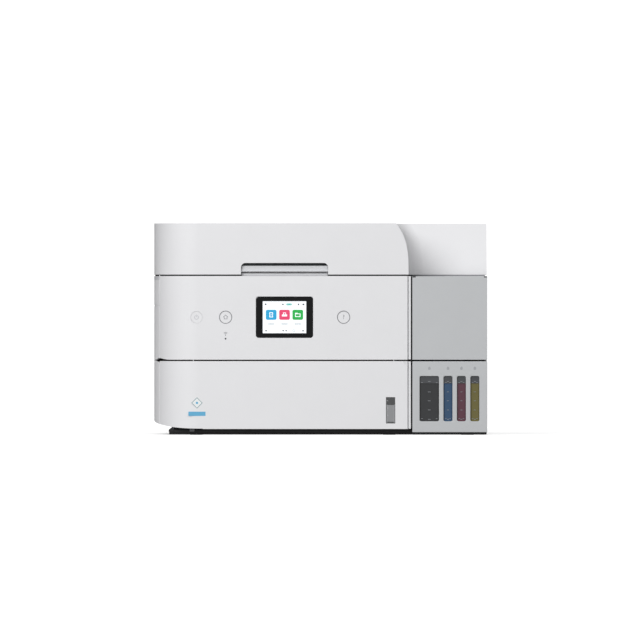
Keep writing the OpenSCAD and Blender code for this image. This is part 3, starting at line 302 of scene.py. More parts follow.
def finish_of(name, hex_colour, grain, relief, mottle, rough, rough_swing=0.0, dark=None, stretch=(1, 1, 1),
              **shader):
    """A finish with a grain and a slow mottle.

    grain is the size of the grain and relief its height, in millimetres; mottle is how much darker the dark
    patches are, unless dark names their colour; rough_swing is how far the gloss follows them; stretch above
    or below 1 draws the grain in or out along an axis. The rest are sockets of the shader."""
    finish = bpy.data.materials.new(name)
    finish.use_nodes = True
    tree = finish.node_tree
    skin = tree.nodes["Principled BSDF"]
    for key, value in shader.items():
        skin.inputs[key.replace("_", " ")].default_value = value
    skin.inputs["Base Color"].default_value = linear(hex_colour)
    skin.inputs["Roughness"].default_value = rough
    place = add(tree, "ShaderNodeTexCoord").outputs["Object"]
    cloud = add(tree, "ShaderNodeTexNoise", [(place, "Vector")], Scale=1000 / MOTTLE, Detail=3.0)
    tone = add(tree, "ShaderNodeMix", [(cloud.outputs["Fac"], "Factor")], data_type="RGBA")
    low = dark or hex_of(v * (1 - mottle) for v in levels(hex_colour))
    for socket, colour in ((6, hex_colour), (7, low)):
        tone.inputs[socket].default_value = linear(colour)
    tree.links.new(tone.outputs[2], skin.inputs["Base Color"])
    if rough_swing:
        span = {"From Min": 0.3, "From Max": 0.7,
                "To Min": rough - rough_swing, "To Max": rough + rough_swing}
        swing = add(tree, "ShaderNodeMapRange", [(cloud.outputs["Fac"], "Value")], **span)
        tree.links.new(swing.outputs["Result"], skin.inputs["Roughness"])
    grid = add(tree, "ShaderNodeMapping", [(place, "Vector")], Scale=stretch)
    dots = add(tree, "ShaderNodeTexNoise", [(grid.outputs["Vector"], "Vector")], Scale=1000 / grain,
               Detail=2.0)
    bump = add(tree, "ShaderNodeBump", [(dots.outputs["Fac"], "Height")], Strength=1.0,
               Distance=relief / 1000)
    tree.links.new(bump.outputs["Normal"], skin.inputs["Normal"])
    return finish


# Size of the slow patches in a moulding, and the index of the casing's plastic
MOTTLE = 35.0
ABS_IOR = 1.54

# Spark-eroded mould texture: a fine dry grain that keeps the white casing from looking glassy
white_abs = finish_of("white_textured_abs", "#e6e6e8", grain=1.1, relief=0.05, mottle=0.012, rough=0.6,
                      rough_swing=0.015, IOR=ABS_IOR)
# The same grain in the grey of the ink unit, a little duller
grey_abs = finish_of("grey_textured_abs", "#bfc1c3", grain=1.1, relief=0.06, mottle=0.02, rough=0.55,
                     rough_swing=0.05, IOR=ABS_IOR)
# Smooth moulded light grey of the trays and inner frames: soft highlights, slight mottle
light_abs = finish_of("smooth_light_grey_abs", "#d4d5d8", grain=2.4, relief=0.03, mottle=0.025, rough=0.42,
                      rough_swing=0.04, IOR=ABS_IOR)
# Glass-filled dark grey structure: visibly grainy and dull
dark_polymer = finish_of("glass_filled_dark_polymer", "#3c3e42", grain=0.9, relief=0.12, mottle=0.10,
                         rough=0.6, rough_swing=0.08, IOR=1.55)
# Black high-impact polystyrene of the base and the inner tubs
black_hips = finish_of("black_textured_hips", "#1f2023", grain=1.2, relief=0.10, mottle=0.12, rough=0.5,
                       rough_swing=0.07, IOR=1.59)
# Piano-black acrylic round the display: sharp but faint reflections
gloss_acrylic = finish_of("gloss_black_acrylic", "#0c0d0f", grain=9.0, relief=0.006, mottle=0.05, rough=0.10,
                          IOR=1.49, Specular_IOR_Level=0.2)
# Nitrile rubber: dead matt with a powdery bloom
nitrile = finish_of("nitrile_rubber", "#17181a", grain=0.7, relief=0.08, mottle=0.2, dark="#2a2b2d",
                    rough=0.82, rough_swing=0.05, IOR=1.52)
# Grey ground rubber of the paper rollers
roller_rubber = finish_of("ground_grey_rubber", "#4a4d52", grain=0.5, relief=0.08, mottle=0.12, rough=0.75,
                          rough_swing=0.06, IOR=1.52)
# Cold-rolled steel: fine lines along the rolling direction
rolled_steel = finish_of("cold_rolled_steel", "#a9adb2", grain=1.0, relief=0.03, mottle=0.08, rough=0.32,
                         rough_swing=0.08, stretch=(0.05, 1, 1), Metallic=1.0)
# Ground and polished shaft: bright with faint turning lines
ground_steel = finish_of("ground_bright_steel", "#d0d2d5", grain=0.8, relief=0.01, mottle=0.03, rough=0.16,
                         rough_swing=0.03, stretch=(1, 0.1, 0.1), Metallic=1.0)
# Float glass of the scanner: clear with a faint green body
float_glass = finish_of("float_glass", "#e4efec", grain=60.0, relief=0.01, mottle=0.01, rough=0.03, IOR=1.52,
                        Transmission_Weight=0.92)
# Smoked polycarbonate of the level window
smoked_clear = finish_of("smoked_polycarbonate", "#3a3b3d", grain=14.0, relief=0.01, mottle=0.05, rough=0.12,
                         IOR=1.585, Coat_Weight=0.4)
# Soft white film on the foam pad: waxy, slightly creased
foam_film = finish_of("foam_backed_white_film", "#f1f1ee", grain=16.0, relief=0.25, mottle=0.02, rough=0.6,
                      rough_swing=0.05, IOR=1.5, Subsurface_Weight=0.05)
# Grey powder coat of the power supply: dull, with a fine pimpled skin
powder_coat = finish_of("grey_powder_coat", "#55585d", grain=0.8, relief=0.10, mottle=0.08, rough=0.5,
                        rough_swing=0.05, IOR=1.5)
# Silicone tubes: milky and soft
silicone = finish_of("milky_silicone", "#b9bdc0", grain=6.0, relief=0.02, mottle=0.05, rough=0.35, IOR=1.41,
                     Subsurface_Weight=0.2)


# ---- Ink and its plastic ----


def ink_of(name, hex_colour):
    """Natural polypropylene with ink behind it: dark and wet-looking, its gloss a little uneven."""
    return finish_of(name, hex_colour, grain=18.0, relief=0.02, mottle=0.06, rough=0.3, rough_swing=0.04,
                     IOR=1.49, Specular_IOR_Level=0.3)


def cap_of(name, hex_colour):
    """Soft coloured polypropylene: satin, a little uneven."""
    return finish_of(name, hex_colour, grain=1.4, relief=0.04, mottle=0.08, rough=0.42, rough_swing=0.05,
                     IOR=1.49)


INKS = ("black", "cyan", "magenta", "yellow")
INK_COLOURS = ("#333436", "#34506f", "#5d3845", "#6c6539")
CAP_COLOURS = ("#2b2c2f", "#2f6fb2", "#b03a62", "#d9bb2c")
ink_finish = [ink_of(f"ink_{ink}_behind_clear", tone) for ink, tone in zip(INKS, INK_COLOURS)]
cap_finish = [cap_of(f"cap_{ink}_polypropylene", tone) for ink, tone in zip(INKS, CAP_COLOURS)]

# ---- Solids with their edges rounded, each with its real finish ----

# Node: its finish and the radius of its edges
ROUNDED = {
    "base_pan": (black_hips, 0.8), "rubber_feet": (nitrile, 0.6), "right_shell": (grey_abs, 0.5),
    "cassette_bay": (dark_polymer, 0.3), "engine_frame": (rolled_steel, 0.2),
    "front_frame": (dark_polymer, 0.3), "guide_shaft": (ground_steel, 0.4),
    "platen": (black_hips, 0.3), "drive_belt": (nitrile, 0.2), "carriage_motor": (rolled_steel, 0.6),
    "maintenance_station": (dark_polymer, 0.4), "power_supply": (powder_coat, 0.5),
    "port_block": (dark_polymer, 0.3), "ink_bay": (dark_polymer, 0.3), "ink_tubes": (silicone, 0.2),
    "scanner_tub": (white_abs, 0.5), "scanner_top": (light_abs, 0.5),
    "scanner_glass": (float_glass, 0.3), "scan_rod": (ground_steel, 0.3),
    "scan_bar": (black_hips, 0.5), "lid_posts": (dark_polymer, 0.3), "lid_shell": (white_abs, 0.8),
    "lid_base": (light_abs, 0.4), "document_mat": (foam_film, 0.25), "feeder_tub": (light_abs, 0.4),
    "feeder_roller": (roller_rubber, 0.4), "feeder_cover": (white_abs, 0.5),
    "input_tray": (white_abs, 0.5), "edge_guide_front": (grey_abs, 0.4),
    "edge_guide_rear": (grey_abs, 0.4), "output_tray": (light_abs, 0.4),
    "tray_extension": (light_abs, 0.3), "cassette_tub": (black_hips, 0.4),
    "paper_guide_left": (black_hips, 0.4), "paper_guide_right": (black_hips, 0.4),
    "paper_guide_rear": (black_hips, 0.4), "carriage": (black_hips, 0.5),
    "feed_roller": (roller_rubber, 0.3), "eject_roller": (roller_rubber, 0.3),
    "rear_cover": (white_abs, 0.6),
}
for i, ink in enumerate(INKS):
    ROUNDED["tank_" + ink] = (ink_finish[i], 0.4)
    ROUNDED["cap_" + ink] = (cap_finish[i], 0.4)
for node, (finish, radius) in ROUNDED.items():
    fitted(moulded(node, radius), body_of[node], slot_of[node], finish, node)

# ---- Front panel and drawer ----

# Printing ink of the icons and marks, in the greys of the front: flat and dry, a hair thick
PRINT_T = 0.05
icon_grey = finish_of("grey_icon_print", "#8b8c90", grain=3.0, relief=0.01, mottle=0.04, rough=0.5, IOR=1.5)
faint_grey = finish_of("faint_icon_print", "#c3c4c9", grain=3.0, relief=0.01, mottle=0.02, rough=0.5, IOR=1.5)
# Dull black sheet set into the seams and gaps as painted shade, so that they read as dark lines
shadow_black = finish_of("painted_shadow_black", "#0f1011", grain=2.0, relief=0.05, mottle=0.2, rough=0.85,
                         IOR=1.5)
# Rounded right end of the front panels: where it stops, its radius and its depth
END_X, END_R, END_DEPTH = 98.2, 4.6, 5.0
# Bright strip beside it: the groove between them, how far it lies back, how short it stays of each end
STRIP_GAP, STRIP_BACK, STRIP_SHORT = 0.7, 2.2, 0.3


def front_end(node, z0, z1, radius, *tools):
    """A front panel whose right end is rounded, with a narrow bright strip set back beside it."""
    off = block("off", END_X - 0.6, PANEL_END + 1, FRONT - 1, FRONT + 12, z0 - 1, z1 + 1)
    panel = cut(raw(node), off)
    edge = block("edge", END_X - 6, END_X, FRONT, FRONT + END_DEPTH, z0, z1)
    outer_corner = lambda e: lies(e, "z") and mid(e).x > END_X - 1 and mid(e).y < FRONT + 1
    rounded(edge, END_R, outer_corner, segments=8)
    back, low, high = FRONT + END_DEPTH, z0 + STRIP_SHORT, z1 - STRIP_SHORT
    web = block("web", END_X - 2, PANEL_END, FRONT + 4, back, low, high)
    strip = block("strip", END_X + STRIP_GAP, PANEL_END, FRONT + STRIP_BACK, back, low, high)
    cut(panel, edge, web, strip, operation="UNION")
    rim = lambda e: e.calc_face_angle(0) > 0.8 and min(abs(mid(e).z - z0), abs(mid(e).z - z1)) < 0.01
    return smooth(rounded(cut(panel, *tools), radius, rim, segments=2))


panel = set_back(front_end("control_panel", PANEL_Z, PANEL_TOP, 0.4), PRINT_T)
fitted(panel, "panel", slot_of["control_panel"], white_abs, "control_panel")

# The lower edge of the drawer climbs round the corner and on along the left side: the height it starts at,
# its rise per millimetre, and how far back it ends
SWEEP_Z, SWEEP_RISE, SWEEP_END = 7.0, 0.19, 60.0


def sweep_tool():
    """What lies under the climbing edge."""
    tool = block("sweep", LEFT - 2, CORNER_X + 5, FRONT - 1, FRONT + SWEEP_END, SKIRT - 8, SWEEP_Z)
    climb = dict(value=m(0, 0, SWEEP_RISE * SWEEP_END))
    back_edge = lambda e: lies(e, "x") and mid(e).y > FRONT + 5 and mid(e).z > SKIRT - 1
    return shape(tool, "EDGE", back_edge, (bpy.ops.transform.translate, climb))


drawer = front_end("cassette_front", SKIRT, DRAWER_TOP, 0.5, sweep_tool())
under = block("under", LEFT - 2, CORNER_X, FRONT + SWEEP_END - 0.1, BACK - 60, SKIRT - 8,
              SWEEP_Z + SWEEP_RISE * SWEEP_END)
side = cut(raw("left_shell"), sweep_tool(), under)
fitted(set_back(drawer, PRINT_T), "cassette", slot_of["cassette_front"], white_abs, "cassette_front")
fitted(softened(side, 0.4), "chassis", slot_of["left_shell"], white_abs, "left_shell")

# Display: glossy frame with rounded corners, white fillers in the corners of its opening, lit screen.
# The frame's span is left, right, bottom, top; TOUCH keeps apart faces that would coincide
BEZEL, BEZEL_R = (-72.9, -8.4, 109.05, 155.65), 3.2
SCREEN_X0, SCREEN_X1 = -65.15, -16.15
SCREEN_Y = FRONT + 0.5
TOUCH = 0.02
outside = lambda e: lies(e, "y") and not SCREEN_X0 - 2 < mid(e).x < SCREEN_X1 + 2
bezel = softened(set_back(rounded(raw("display_bezel"), BEZEL_R, outside, segments=5), PRINT_T), 0.25)
fitted(bezel, "panel", slot_of["display_bezel"], gloss_acrylic, "display_bezel")
x0, x1, z0, z1 = BEZEL
opening = cornered("opening", x0 + TOUCH, x1 - TOUCH, FRONT - 1, FRONT + 4, z0 + TOUCH, z1 - TOUCH,
                   BEZEL_R - 0.1)
fillers = cut(block("display_corner_fillers", x0, x1, FRONT + 0.2, FRONT + 3, z0, z1), opening)
fitted(fillers, "panel", "shell", white_abs)
# Backlit white of the display, with the faint unevenness of its backlight
lit_white = finish_of("backlit_white", "#f2f6f8", grain=30.0, relief=0.005, mottle=0.03, rough=0.2, IOR=1.5,
                      Emission_Color=linear("#f4faff"), Emission_Strength=0.32)
screen = softened(raw("display_screen"), 0.1)
fitted(screen, "panel", slot_of["display_screen"], lit_white, "display_screen")


def pixel_of(name, hex_colour, glow=0.25):
    """A colour shown by the display: smooth, glowing a little, even but for a slight mottle."""
    return finish_of(name, hex_colour, grain=20.0, relief=0.004, mottle=0.05, rough=0.25, IOR=1.5,
                     Emission_Color=linear(hex_colour), Emission_Strength=glow)


# Step from one layer of the display's picture to the next, and what each is thick
LAYER, LAYER_T = 0.06, 0.05


def on_screen(name, finish, layer, boxes, corner=0.0):
    """Flat shapes on the display, as (left, right, bottom, top), in a layer above the others."""
    y = SCREEN_Y - LAYER * layer
    plates = [block(name, x0, x1, y, y + LAYER_T, z0, z1) for x0, x1, z0, z1 in boxes]
    if corner:
        plates = [rounded(p, corner, lambda e: lies(e, "y"), segments=4) for p in plates]
    return fitted(joined(name, *plates), "panel", "screen", finish)


# Three tiles of the menu
TILES = ((-61.6, -49.6), (-46.6, -34.6), (-31.7, -19.7))
TILE_Z0, TILE_Z1 = 129.4, 140.7
TILE_COLOURS = (("tile_blue", "#1f9fd0"), ("tile_red", "#e0406c"), ("tile_green", "#17a845"))
for (x0, x1), (name, colour) in zip(TILES, TILE_COLOURS):
    on_screen(name, pixel_of("display_" + name, colour), 1, [(x0, x1, TILE_Z0, TILE_Z1)], corner=1.8)
# White signs, placed from the left end of their tile: a sheet, a sheet in a scanner, a folder
SHEET_SIGN = ((4.0, 4.8, 132.2, 137.8), (7.2, 8.0, 132.2, 137.8), (4.0, 8.0, 137.0, 137.8),
              (4.0, 8.0, 132.2, 133.0), (5.4, 6.6, 134.6, 135.4))
SCAN_SIGN = ((3.0, 9.0, 133.2, 135.4), (4.4, 5.2, 135.4, 137.6), (6.8, 7.6, 135.4, 137.6),
             (4.4, 7.6, 136.9, 137.6))
FOLDER_SIGN = ((3.0, 3.8, 132.6, 137.2), (8.2, 9.0, 132.6, 136.4), (3.0, 9.0, 132.6, 133.4),
               (3.0, 9.0, 135.8, 136.5), (3.0, 6.0, 136.5, 137.3))
signs = [(x + x0, x + x1, z0, z1)
         for (x, _), sign in zip(TILES, (SHEET_SIGN, SCAN_SIGN, FOLDER_SIGN)) for x0, x1, z0, z1 in sign]
on_screen("tile_signs", lit_white, 2, signs, corner=0.35)
pale_print = pixel_of("display_pale_grey", "#b4bbc0")
dark_print = pixel_of("display_dark_grey", "#555b61", 0.1)
teal_print = pixel_of("display_teal", "#5fbfb4")
# Bars in the place of words under the tiles, and small marks in the rows at the top and bottom
LABEL_SPANS = ((-59.0, -52.2), (-44.2, -37.0), (-29.4, -22.0))
on_screen("tile_labels", pale_print, 1, [(x0, x1, 124.2, 125.3) for x0, x1 in LABEL_SPANS], corner=0.3)
TOP_MARKS = [(-62.8, -60.9, 146.0, 147.7), (-43.6, -41.5, 146.2, 147.4), (-25.7, -24.1, 145.9, 147.6),
             (-20.4, -18.4, 145.9, 147.6)]
BOTTOM_MARKS = [(-62.2, -60.5, 116.4, 117.9), (-43.0, -41.2, 116.6, 117.8), (-39.5, -37.9, 116.6, 117.8),
                (-20.6, -18.9, 116.4, 117.9)]
on_screen("status_marks", dark_print, 1, TOP_MARKS + BOTTOM_MARKS, corner=0.3)
on_screen("status_pill", teal_print, 1, [(-38.6, -32.4, 145.7, 147.8)], corner=0.9)
on_screen("battery_marks", pale_print, 2, [(-37.6, -36.6, 146.3, 147.2), (-34.4, -33.4, 146.3, 147.2)])
page_ring = ring("page_ring", "y", SCREEN_Y - LAYER, SCREEN_Y, (-30.2, 117.2), 1.5, 1.0)
fitted(page_ring, "panel", "screen", pale_print)

# Round buttons: a slight dish in each, with a printed sign; a printed ring round two of them
BUTTON_Z = 132.35
POWER_X, HOME_X, HELP_X = -139.5, -106.8, 25.8
RING_R, RING_HOLE = 7.4, 6.72
DISH = 0.22
MARK_BACK = FRONT + PRINT_T + 0.01
BUTTONS = (("power", POWER_X, faint_grey), ("home", HOME_X, icon_grey), ("help", HELP_X, icon_grey))
for name, x, ink in BUTTONS:
    key = raw(name + "_button")
    sunk(key, lambda f: f.normal.y < -0.999 and mid(f).y < FRONT + 0.01, 0.35, DISH)
    fitted(softened(key, 0.12), "key_" + name, slot_of[name + "_button"], white_abs, name + "_button")
    if name != "power":
        edge = ring(name + "_ring", "y", FRONT, MARK_BACK, (x, BUTTON_Z), RING_R, RING_HOLE)
        fitted(edge, "panel", "shell", ink)

# Power sign: a ring open at the top, with a stem in the gap
y0, y1 = FRONT + DISH - PRINT_T, FRONT + DISH
power = cut(ring("power_sign", "y", y0, y1, (POWER_X, BUTTON_Z - 0.2), 2.5, 1.9),
            block("gap", POWER_X - 0.8, POWER_X + 0.8, y0 - 1, y1 + 1, BUTTON_Z + 1, BUTTON_Z + 4))
stem = block("stem", POWER_X - 0.3, POWER_X + 0.3, y0, y1, BUTTON_Z + 0.2, BUTTON_Z + 2.9)
fitted(cut(power, stem, operation="UNION"), "key_power", "shell", faint_grey)

# Home sign: two walls and a floor of one stroke's width under two leaning roof bars
HOUSE, STROKE, ROOF_LEAN = 1.9, 0.6, 40
low, eaves = BUTTON_Z - 2.2, BUTTON_Z + 0.5
house = [block("home_sign", HOME_X - HOUSE, HOME_X - HOUSE + STROKE, y0, y1, low, eaves),
         block("wall", HOME_X + HOUSE - STROKE, HOME_X + HOUSE, y0, y1, low, eaves),
         block("floor", HOME_X - HOUSE, HOME_X + HOUSE, y0, y1, low, low + STROKE)]
for side in (-1, 1):
    x, z = HOME_X + side * 1.3, BUTTON_Z + 1.3
    roof = block("roof", x - HOUSE, x + HOUSE, y0, y1, z - STROKE / 2, z + STROKE / 2)
    house.append(turned(roof, "y", -side * ROOF_LEAN, (x, (y0 + y1) / 2, z)))
fitted(cut(*house, operation="UNION"), "key_home", "shell", icon_grey)

# Help sign, 6.8 mm type
bpy.ops.object.select_all(action="DESELECT")
bpy.ops.object.text_add(rotation=(math.pi / 2, 0, 0))
query = bpy.context.object
query.data.body = "?"
query.data.size = 0.0068
query.data.align_x = query.data.align_y = "CENTER"
query.data.extrude = PRINT_T / 2000
bpy.ops.object.convert(target="MESH")
query = bpy.context.object
query.location = m(HELP_X, (y0 + y1) / 2, BUTTON_Z)
fitted(settle(query, "help_sign"), "key_help", "shell", icon_grey)

# Wireless sign of three arcs and a dot, and the small lamp below it
WAVE_X, WAVE_Z, WAVE_T = -106.9, 112.2, 0.55
y0, y1 = FRONT, MARK_BACK
waves = []
for radius in (1.2, 2.3, 3.4):
    arc = ring("wave", "y", y0, y1, (WAVE_X, WAVE_Z), radius, radius - WAVE_T)
    below = block("below", WAVE_X - 5, WAVE_X + 5, y0 - 1, y1 + 1, WAVE_Z - 5, WAVE_Z + 0.25)
    left = block("left", WAVE_X - 9, WAVE_X, y0 - 1, y1 + 1, WAVE_Z - 5, WAVE_Z + 5)
    right = block("right", WAVE_X, WAVE_X + 9, y0 - 1, y1 + 1, WAVE_Z - 5, WAVE_Z + 5)
    centre = (WAVE_X, y0, WAVE_Z)
    waves.append(cut(arc, below, turned(left, "y", 42, centre), turned(right, "y", -42, centre)))
waves.append(bar("wave_dot", "y", y0, y1, (WAVE_X, WAVE_Z - 0.4), 0.5))
fitted(joined("wireless_sign", *waves), "panel", "shell", icon_grey)
# Smoked lens: dark until lit, with a clear bright edge
lamp_lens = finish_of("smoked_lamp_lens", "#47494c", grain=4.0, relief=0.01, mottle=0.1, rough=0.15, IOR=1.58,
                      Coat_Weight=0.5)
lamp = softened(bar("status_lamp", "y", FRONT, FRONT + 1.4, (WAVE_X, 108.2), 1.2), 0.3)
fitted(lamp, "panel", "clear_dark", lamp_lens)

# Bare label on the drawer: a diamond in a thin frame over a plain blue band. Smooth film and its inks,
# a little glossier than the casing
label_blue = finish_of("blue_label_print", "#62b4dc", grain=5.0, relief=0.005, mottle=0.10, rough=0.35,
                       IOR=1.5)
label_white = finish_of("white_label_film", "#eef2f2", grain=9.0, relief=0.01, mottle=0.02, rough=0.3,
                        IOR=1.5)
label_grey = finish_of("grey_label_print", "#8fa5aa", grain=5.0, relief=0.005, mottle=0.05, rough=0.35,
                       IOR=1.5)
LABEL_X, LABEL_Z, LABEL_T = -139.0, 36.0, 0.2
FRAME_HALF, PLATE_HALF, MARK_HALF = 4.5, 3.8, 1.3
BAND_HALF, BAND_Z0, BAND_Z1 = 9.6, 21.4, 26.2


def label_square(name, half, y0, y1):
    """A square plate round the middle of the label."""
    return block(name, LABEL_X - half, LABEL_X + half, y0, y1, LABEL_Z - half, LABEL_Z + half)


def on_corner(obj):
    """Turns a square of the label to stand on its corner."""
    return turned(obj, "y", 45, (LABEL_X, FRONT, LABEL_Z))


y1 = FRONT + LABEL_T
frame_plate = cut(label_square("label_frame", FRAME_HALF, FRONT, y1),
                  label_square("hole", PLATE_HALF, FRONT - 1, FRONT + 2))
fitted(on_corner(frame_plate), "cassette", "shell", label_grey)
plate = on_corner(label_square("label_plate", PLATE_HALF, FRONT + 0.01, y1))
fitted(plate, "cassette", "shell", label_white)
mark = label_square("label_mark", MARK_HALF, FRONT, FRONT + LABEL_T / 2)
rounded(mark, 1.1, lambda e: lies(e, "y"), segments=5)
fitted(on_corner(mark), "cassette", "shell", label_blue)
band = block("label_band", LABEL_X - BAND_HALF, LABEL_X + BAND_HALF, FRONT, y1, BAND_Z0, BAND_Z1)
fitted(band, "cassette", "shell", label_blue)

# Level window: smoked slot in the drawer; the stack of paper behind it and the scale are drawn on its face.
# The window's left, right and bottom, and the top of the stack
SLOT_X0, SLOT_X1, SLOT_Z0 = 73.4, 83.8, 12.9
PAPER_TOP = 33.6
window = softened(raw("level_window"), 0.3)
fitted(window, "cassette", slot_of["level_window"], smoked_clear, "level_window")
# Edges of stacked sheets: fine level lines
stack_grey = finish_of("paper_stack_behind_window", "#8d8e90", grain=0.5, relief=0.03, mottle=0.03, rough=0.5,
                       stretch=(0.05, 1, 3), IOR=1.5)
y = FRONT + 0.6
stack = block("paper_level", SLOT_X0 + 1.5, SLOT_X1 - 1.5, y - 0.1, y + TOUCH, SLOT_Z0 + 2.0, PAPER_TOP)
fitted(stack, "cassette", "clear_dark", stack_grey)
LINE_X, LINE_T = SLOT_X0 + 0.9, 0.45
scale = [block("level_scale", x, x + LINE_T, y - 0.14, y + TOUCH, SLOT_Z0 + 1.0, PAPER_TOP + 0.4)
         for x in (LINE_X, SLOT_X1 - 0.9 - LINE_T)]
scale += [block("tick", LINE_X, LINE_X + 1.7, y - 0.14, y + TOUCH, z, z + 0.4) for z in (38.2, 30.0, 22.0)]
fitted(joined("level_scale", *scale), "cassette", "clear_dark", faint_grey)

# Finger recess in the lid: hollow painted dark grey as painted shade, grey grip plate with a bright lower
# lip; lip of the scanner below
GRIP_X0, GRIP_X1 = -89.3, 8.1
GRIP_Z, GRIP_TOP, GRIP_BACK = 184.6, 193.2, FRONT + 11.7
grip = block("grip_plate", GRIP_X0, GRIP_X1, FRONT + 4.5, GRIP_BACK, GRIP_Z, 190.2)
flange = block("flange", GRIP_X0, GRIP_X1, FRONT + 2.5, GRIP_BACK, GRIP_Z - 1, GRIP_Z)
fitted(softened(cut(grip, flange, operation="UNION"), 0.3), "lid", "grey_shell", light_abs)
lining = cornered("grip_lining", GRIP_X0 - 0.1, GRIP_X1 + 0.1, FRONT + 2.0, FRONT + 11.9, GRIP_Z + 0.2,
                  GRIP_TOP, 4.5)
cut(lining, block("room", GRIP_X0 + 0.3, GRIP_X1 - 0.3, FRONT - 1, FRONT + 11.5, 180, GRIP_TOP - 0.3))
# Sides and ceiling of the hollow painted a dark grey as painted shade, darker than the plate
grip_painted_shade = finish_of("grip_hollow_painted_shade", "#55585b", grain=1.2, relief=0.05, mottle=0.06, rough=0.6,
                      IOR=ABS_IOR)
fitted(lining, "lid", "dark", grip_painted_shade)
lip = block("grip_lip", GRIP_X0 + 0.2, GRIP_X1 - 0.2, FRONT + 6.3, FRONT + 13, PANEL_TOP + 0.05, 181.7)
fitted(softened(lip, 0.4), "scanner", "inner_light", light_abs)

# ---- Ink unit ----

# Smoked polypropylene above the ink level
smoke = finish_of("smoked_tank_wall", "#4b4d50", grain=12.0, relief=0.01, mottle=0.08, rough=0.3, IOR=1.49,
                  Specular_IOR_Level=0.3)
# Raised marks of the tank wall, paler than the ink behind them
pale_tick = finish_of("pale_moulded_tick", "#8e9195", grain=2.0, relief=0.01, mottle=0.05, rough=0.4, IOR=1.5)
# Pale print on the grey housing
drop_print = finish_of("pale_grey_print", "#a6a8ac", grain=2.0, relief=0.01, mottle=0.05, rough=0.5)
INK_LEVEL = 57.9
TANK_FRONT = FRONT + 2.5
# How many levels of 255 darker the ink is painted at the edges of a tank, as painted shade
EDGE_SHADE = 18
# Heights of the marks on a tank: long ones down its middle, short ones at both sides
LONG_TICKS, SHORT_TICKS = (60.2, 48.4, 38.4, 28.1, 17.6), (58.9, 18.4)
TICK_T = 0.25
DROP_Z, DROP_R, TIP_HALF, TIP_RISE = 74.6, 1.5, 1.05, 1.0

housing = set_back(softened(raw("tank_housing"), 0.6), PRINT_T)
fitted(housing, "chassis", slot_of["tank_housing"], grey_abs, "tank_housing")
# The cover has a notch in each upper corner, with black behind it as painted shade, and a rounded upper front
# edge
NOTCHES = ((TANK_X0 + 0.3, TANK_X0 + 3.8), (TANK_X1 - 3.8, TANK_X1 - 0.3))
NOTCH_Z = 177.0
notches = [block("notch", x0, x1, FRONT - 1, FRONT + 1.8, NOTCH_Z, NOTCH_Z + 3) for x0, x1 in NOTCHES]
cover = cut(raw("ink_cover"), *notches)
rounded(cover, 1.3, lambda e: lies(e, "x") and mid(e).z > 178 and mid(e).y < FRONT + 1, segments=4)
fitted(softened(cover, 0.5), "ink_door", slot_of["ink_cover"], grey_abs, "ink_cover")
for i, (ink, (x0, x1)) in enumerate(zip(INKS, WINDOWS)):
    slot = "tank_" + ink
    # Thin rim that rounds the corners of the window
    rim = block("window_rim_" + ink, x0 - TOUCH, x1 + TOUCH, FRONT + 0.3, FRONT + 2.2, WINDOW_Z0 - TOUCH,
                WINDOW_Z1 + TOUCH)
    hole = block("hole", x0 + TOUCH, x1 - TOUCH, FRONT - 1, FRONT + 4, WINDOW_Z0 + TOUCH, WINDOW_Z1 - TOUCH)
    rounded(hole, 1.9, lambda e: lies(e, "y"), segments=5)
    fitted(cut(rim, hole), "chassis", "grey_shell", grey_abs)
    # Empty wall above the ink, and painted shade: a darker line along the ink's surface and sides
    y = TANK_FRONT - TOUCH
    mid_x = (x0 + x1) / 2
    wall = block("tank_smoke_" + ink, x0 - 0.3, x1 + 0.3, y - 0.25, y, INK_LEVEL, WINDOW_Z1 + 1)
    fitted(wall, "chassis", slot, smoke)
    edges = [block("ink_edge_shade_" + ink, x0 - 0.3, x1 + 0.3, y - 0.32, y, INK_LEVEL - 0.5, INK_LEVEL + 0.1)]
    edges += [block("edge", a, b, y - 0.2, y, WINDOW_Z0 - 0.5, INK_LEVEL)
              for a, b in ((x0 - 0.3, x0 + 1.1), (x1 - 1.1, x1 + 0.3))]
    edge_shade_colour = hex_of(max(0, v - EDGE_SHADE) for v in levels(INK_COLOURS[i]))
    edge_shade_finish = ink_of(f"ink_{ink}_painted_edge_shade", edge_shade_colour)
    fitted(joined("ink_edge_shade_" + ink, *edges), "chassis", slot, edge_shade_finish)
    # Marks of the level
    half = 1.5 if ink == "black" else 1.1
    ticks = [block("level_ticks_" + ink, mid_x - half, mid_x + half, y - 0.38, y, z - TICK_T, z + TICK_T)
             for z in LONG_TICKS]
    for side in (-1, 1):
        x = mid_x + side * ((x1 - x0) / 2 - 2.6)
        ticks += [block("tick", x - 0.9, x + 0.9, y - 0.38, y, z - 0.2, z + TICK_T) for z in SHORT_TICKS]
    fitted(joined("level_ticks_" + ink, *ticks), "chassis", slot, pale_tick)
    # Drop sign over the window: a disc with a raised corner
    drop = bar("drop_sign_" + ink, "y", FRONT, MARK_BACK, (mid_x, DROP_Z), DROP_R)
    tip = block("tip", mid_x - TIP_HALF, mid_x + TIP_HALF, FRONT, MARK_BACK, DROP_Z - TIP_HALF,
                DROP_Z + TIP_HALF)
    only(turned(tip, "y", 45, (mid_x, FRONT, DROP_Z)))
    bpy.ops.transform.translate(value=m(0, 0, TIP_RISE))
    fitted(cut(drop, settle(tip, "tip"), operation="UNION"), "chassis", "grey_shell", drop_print)
# Black plates behind the notches: painted shade where the gap behind the cover lies in shadow
for x0, x1 in NOTCHES:
    notch = block("cover_notch_shade", x0, x1, FRONT + 1.6, FRONT + 1.9, NOTCH_Z, NOTCH_Z + 1.2)
    fitted(notch, "ink_door", "black", shadow_black)

# Black sheet in the gap between the panels and the ink unit: painted shade
gap = block("ink_gap_painted_shade", PANEL_END + 0.1, TANK_X0 - 0.2, FRONT + 3.2, FRONT + 9, 8.0, 178.0)
fitted(gap, "chassis", "black", shadow_black)

# ---- Seams and base ----


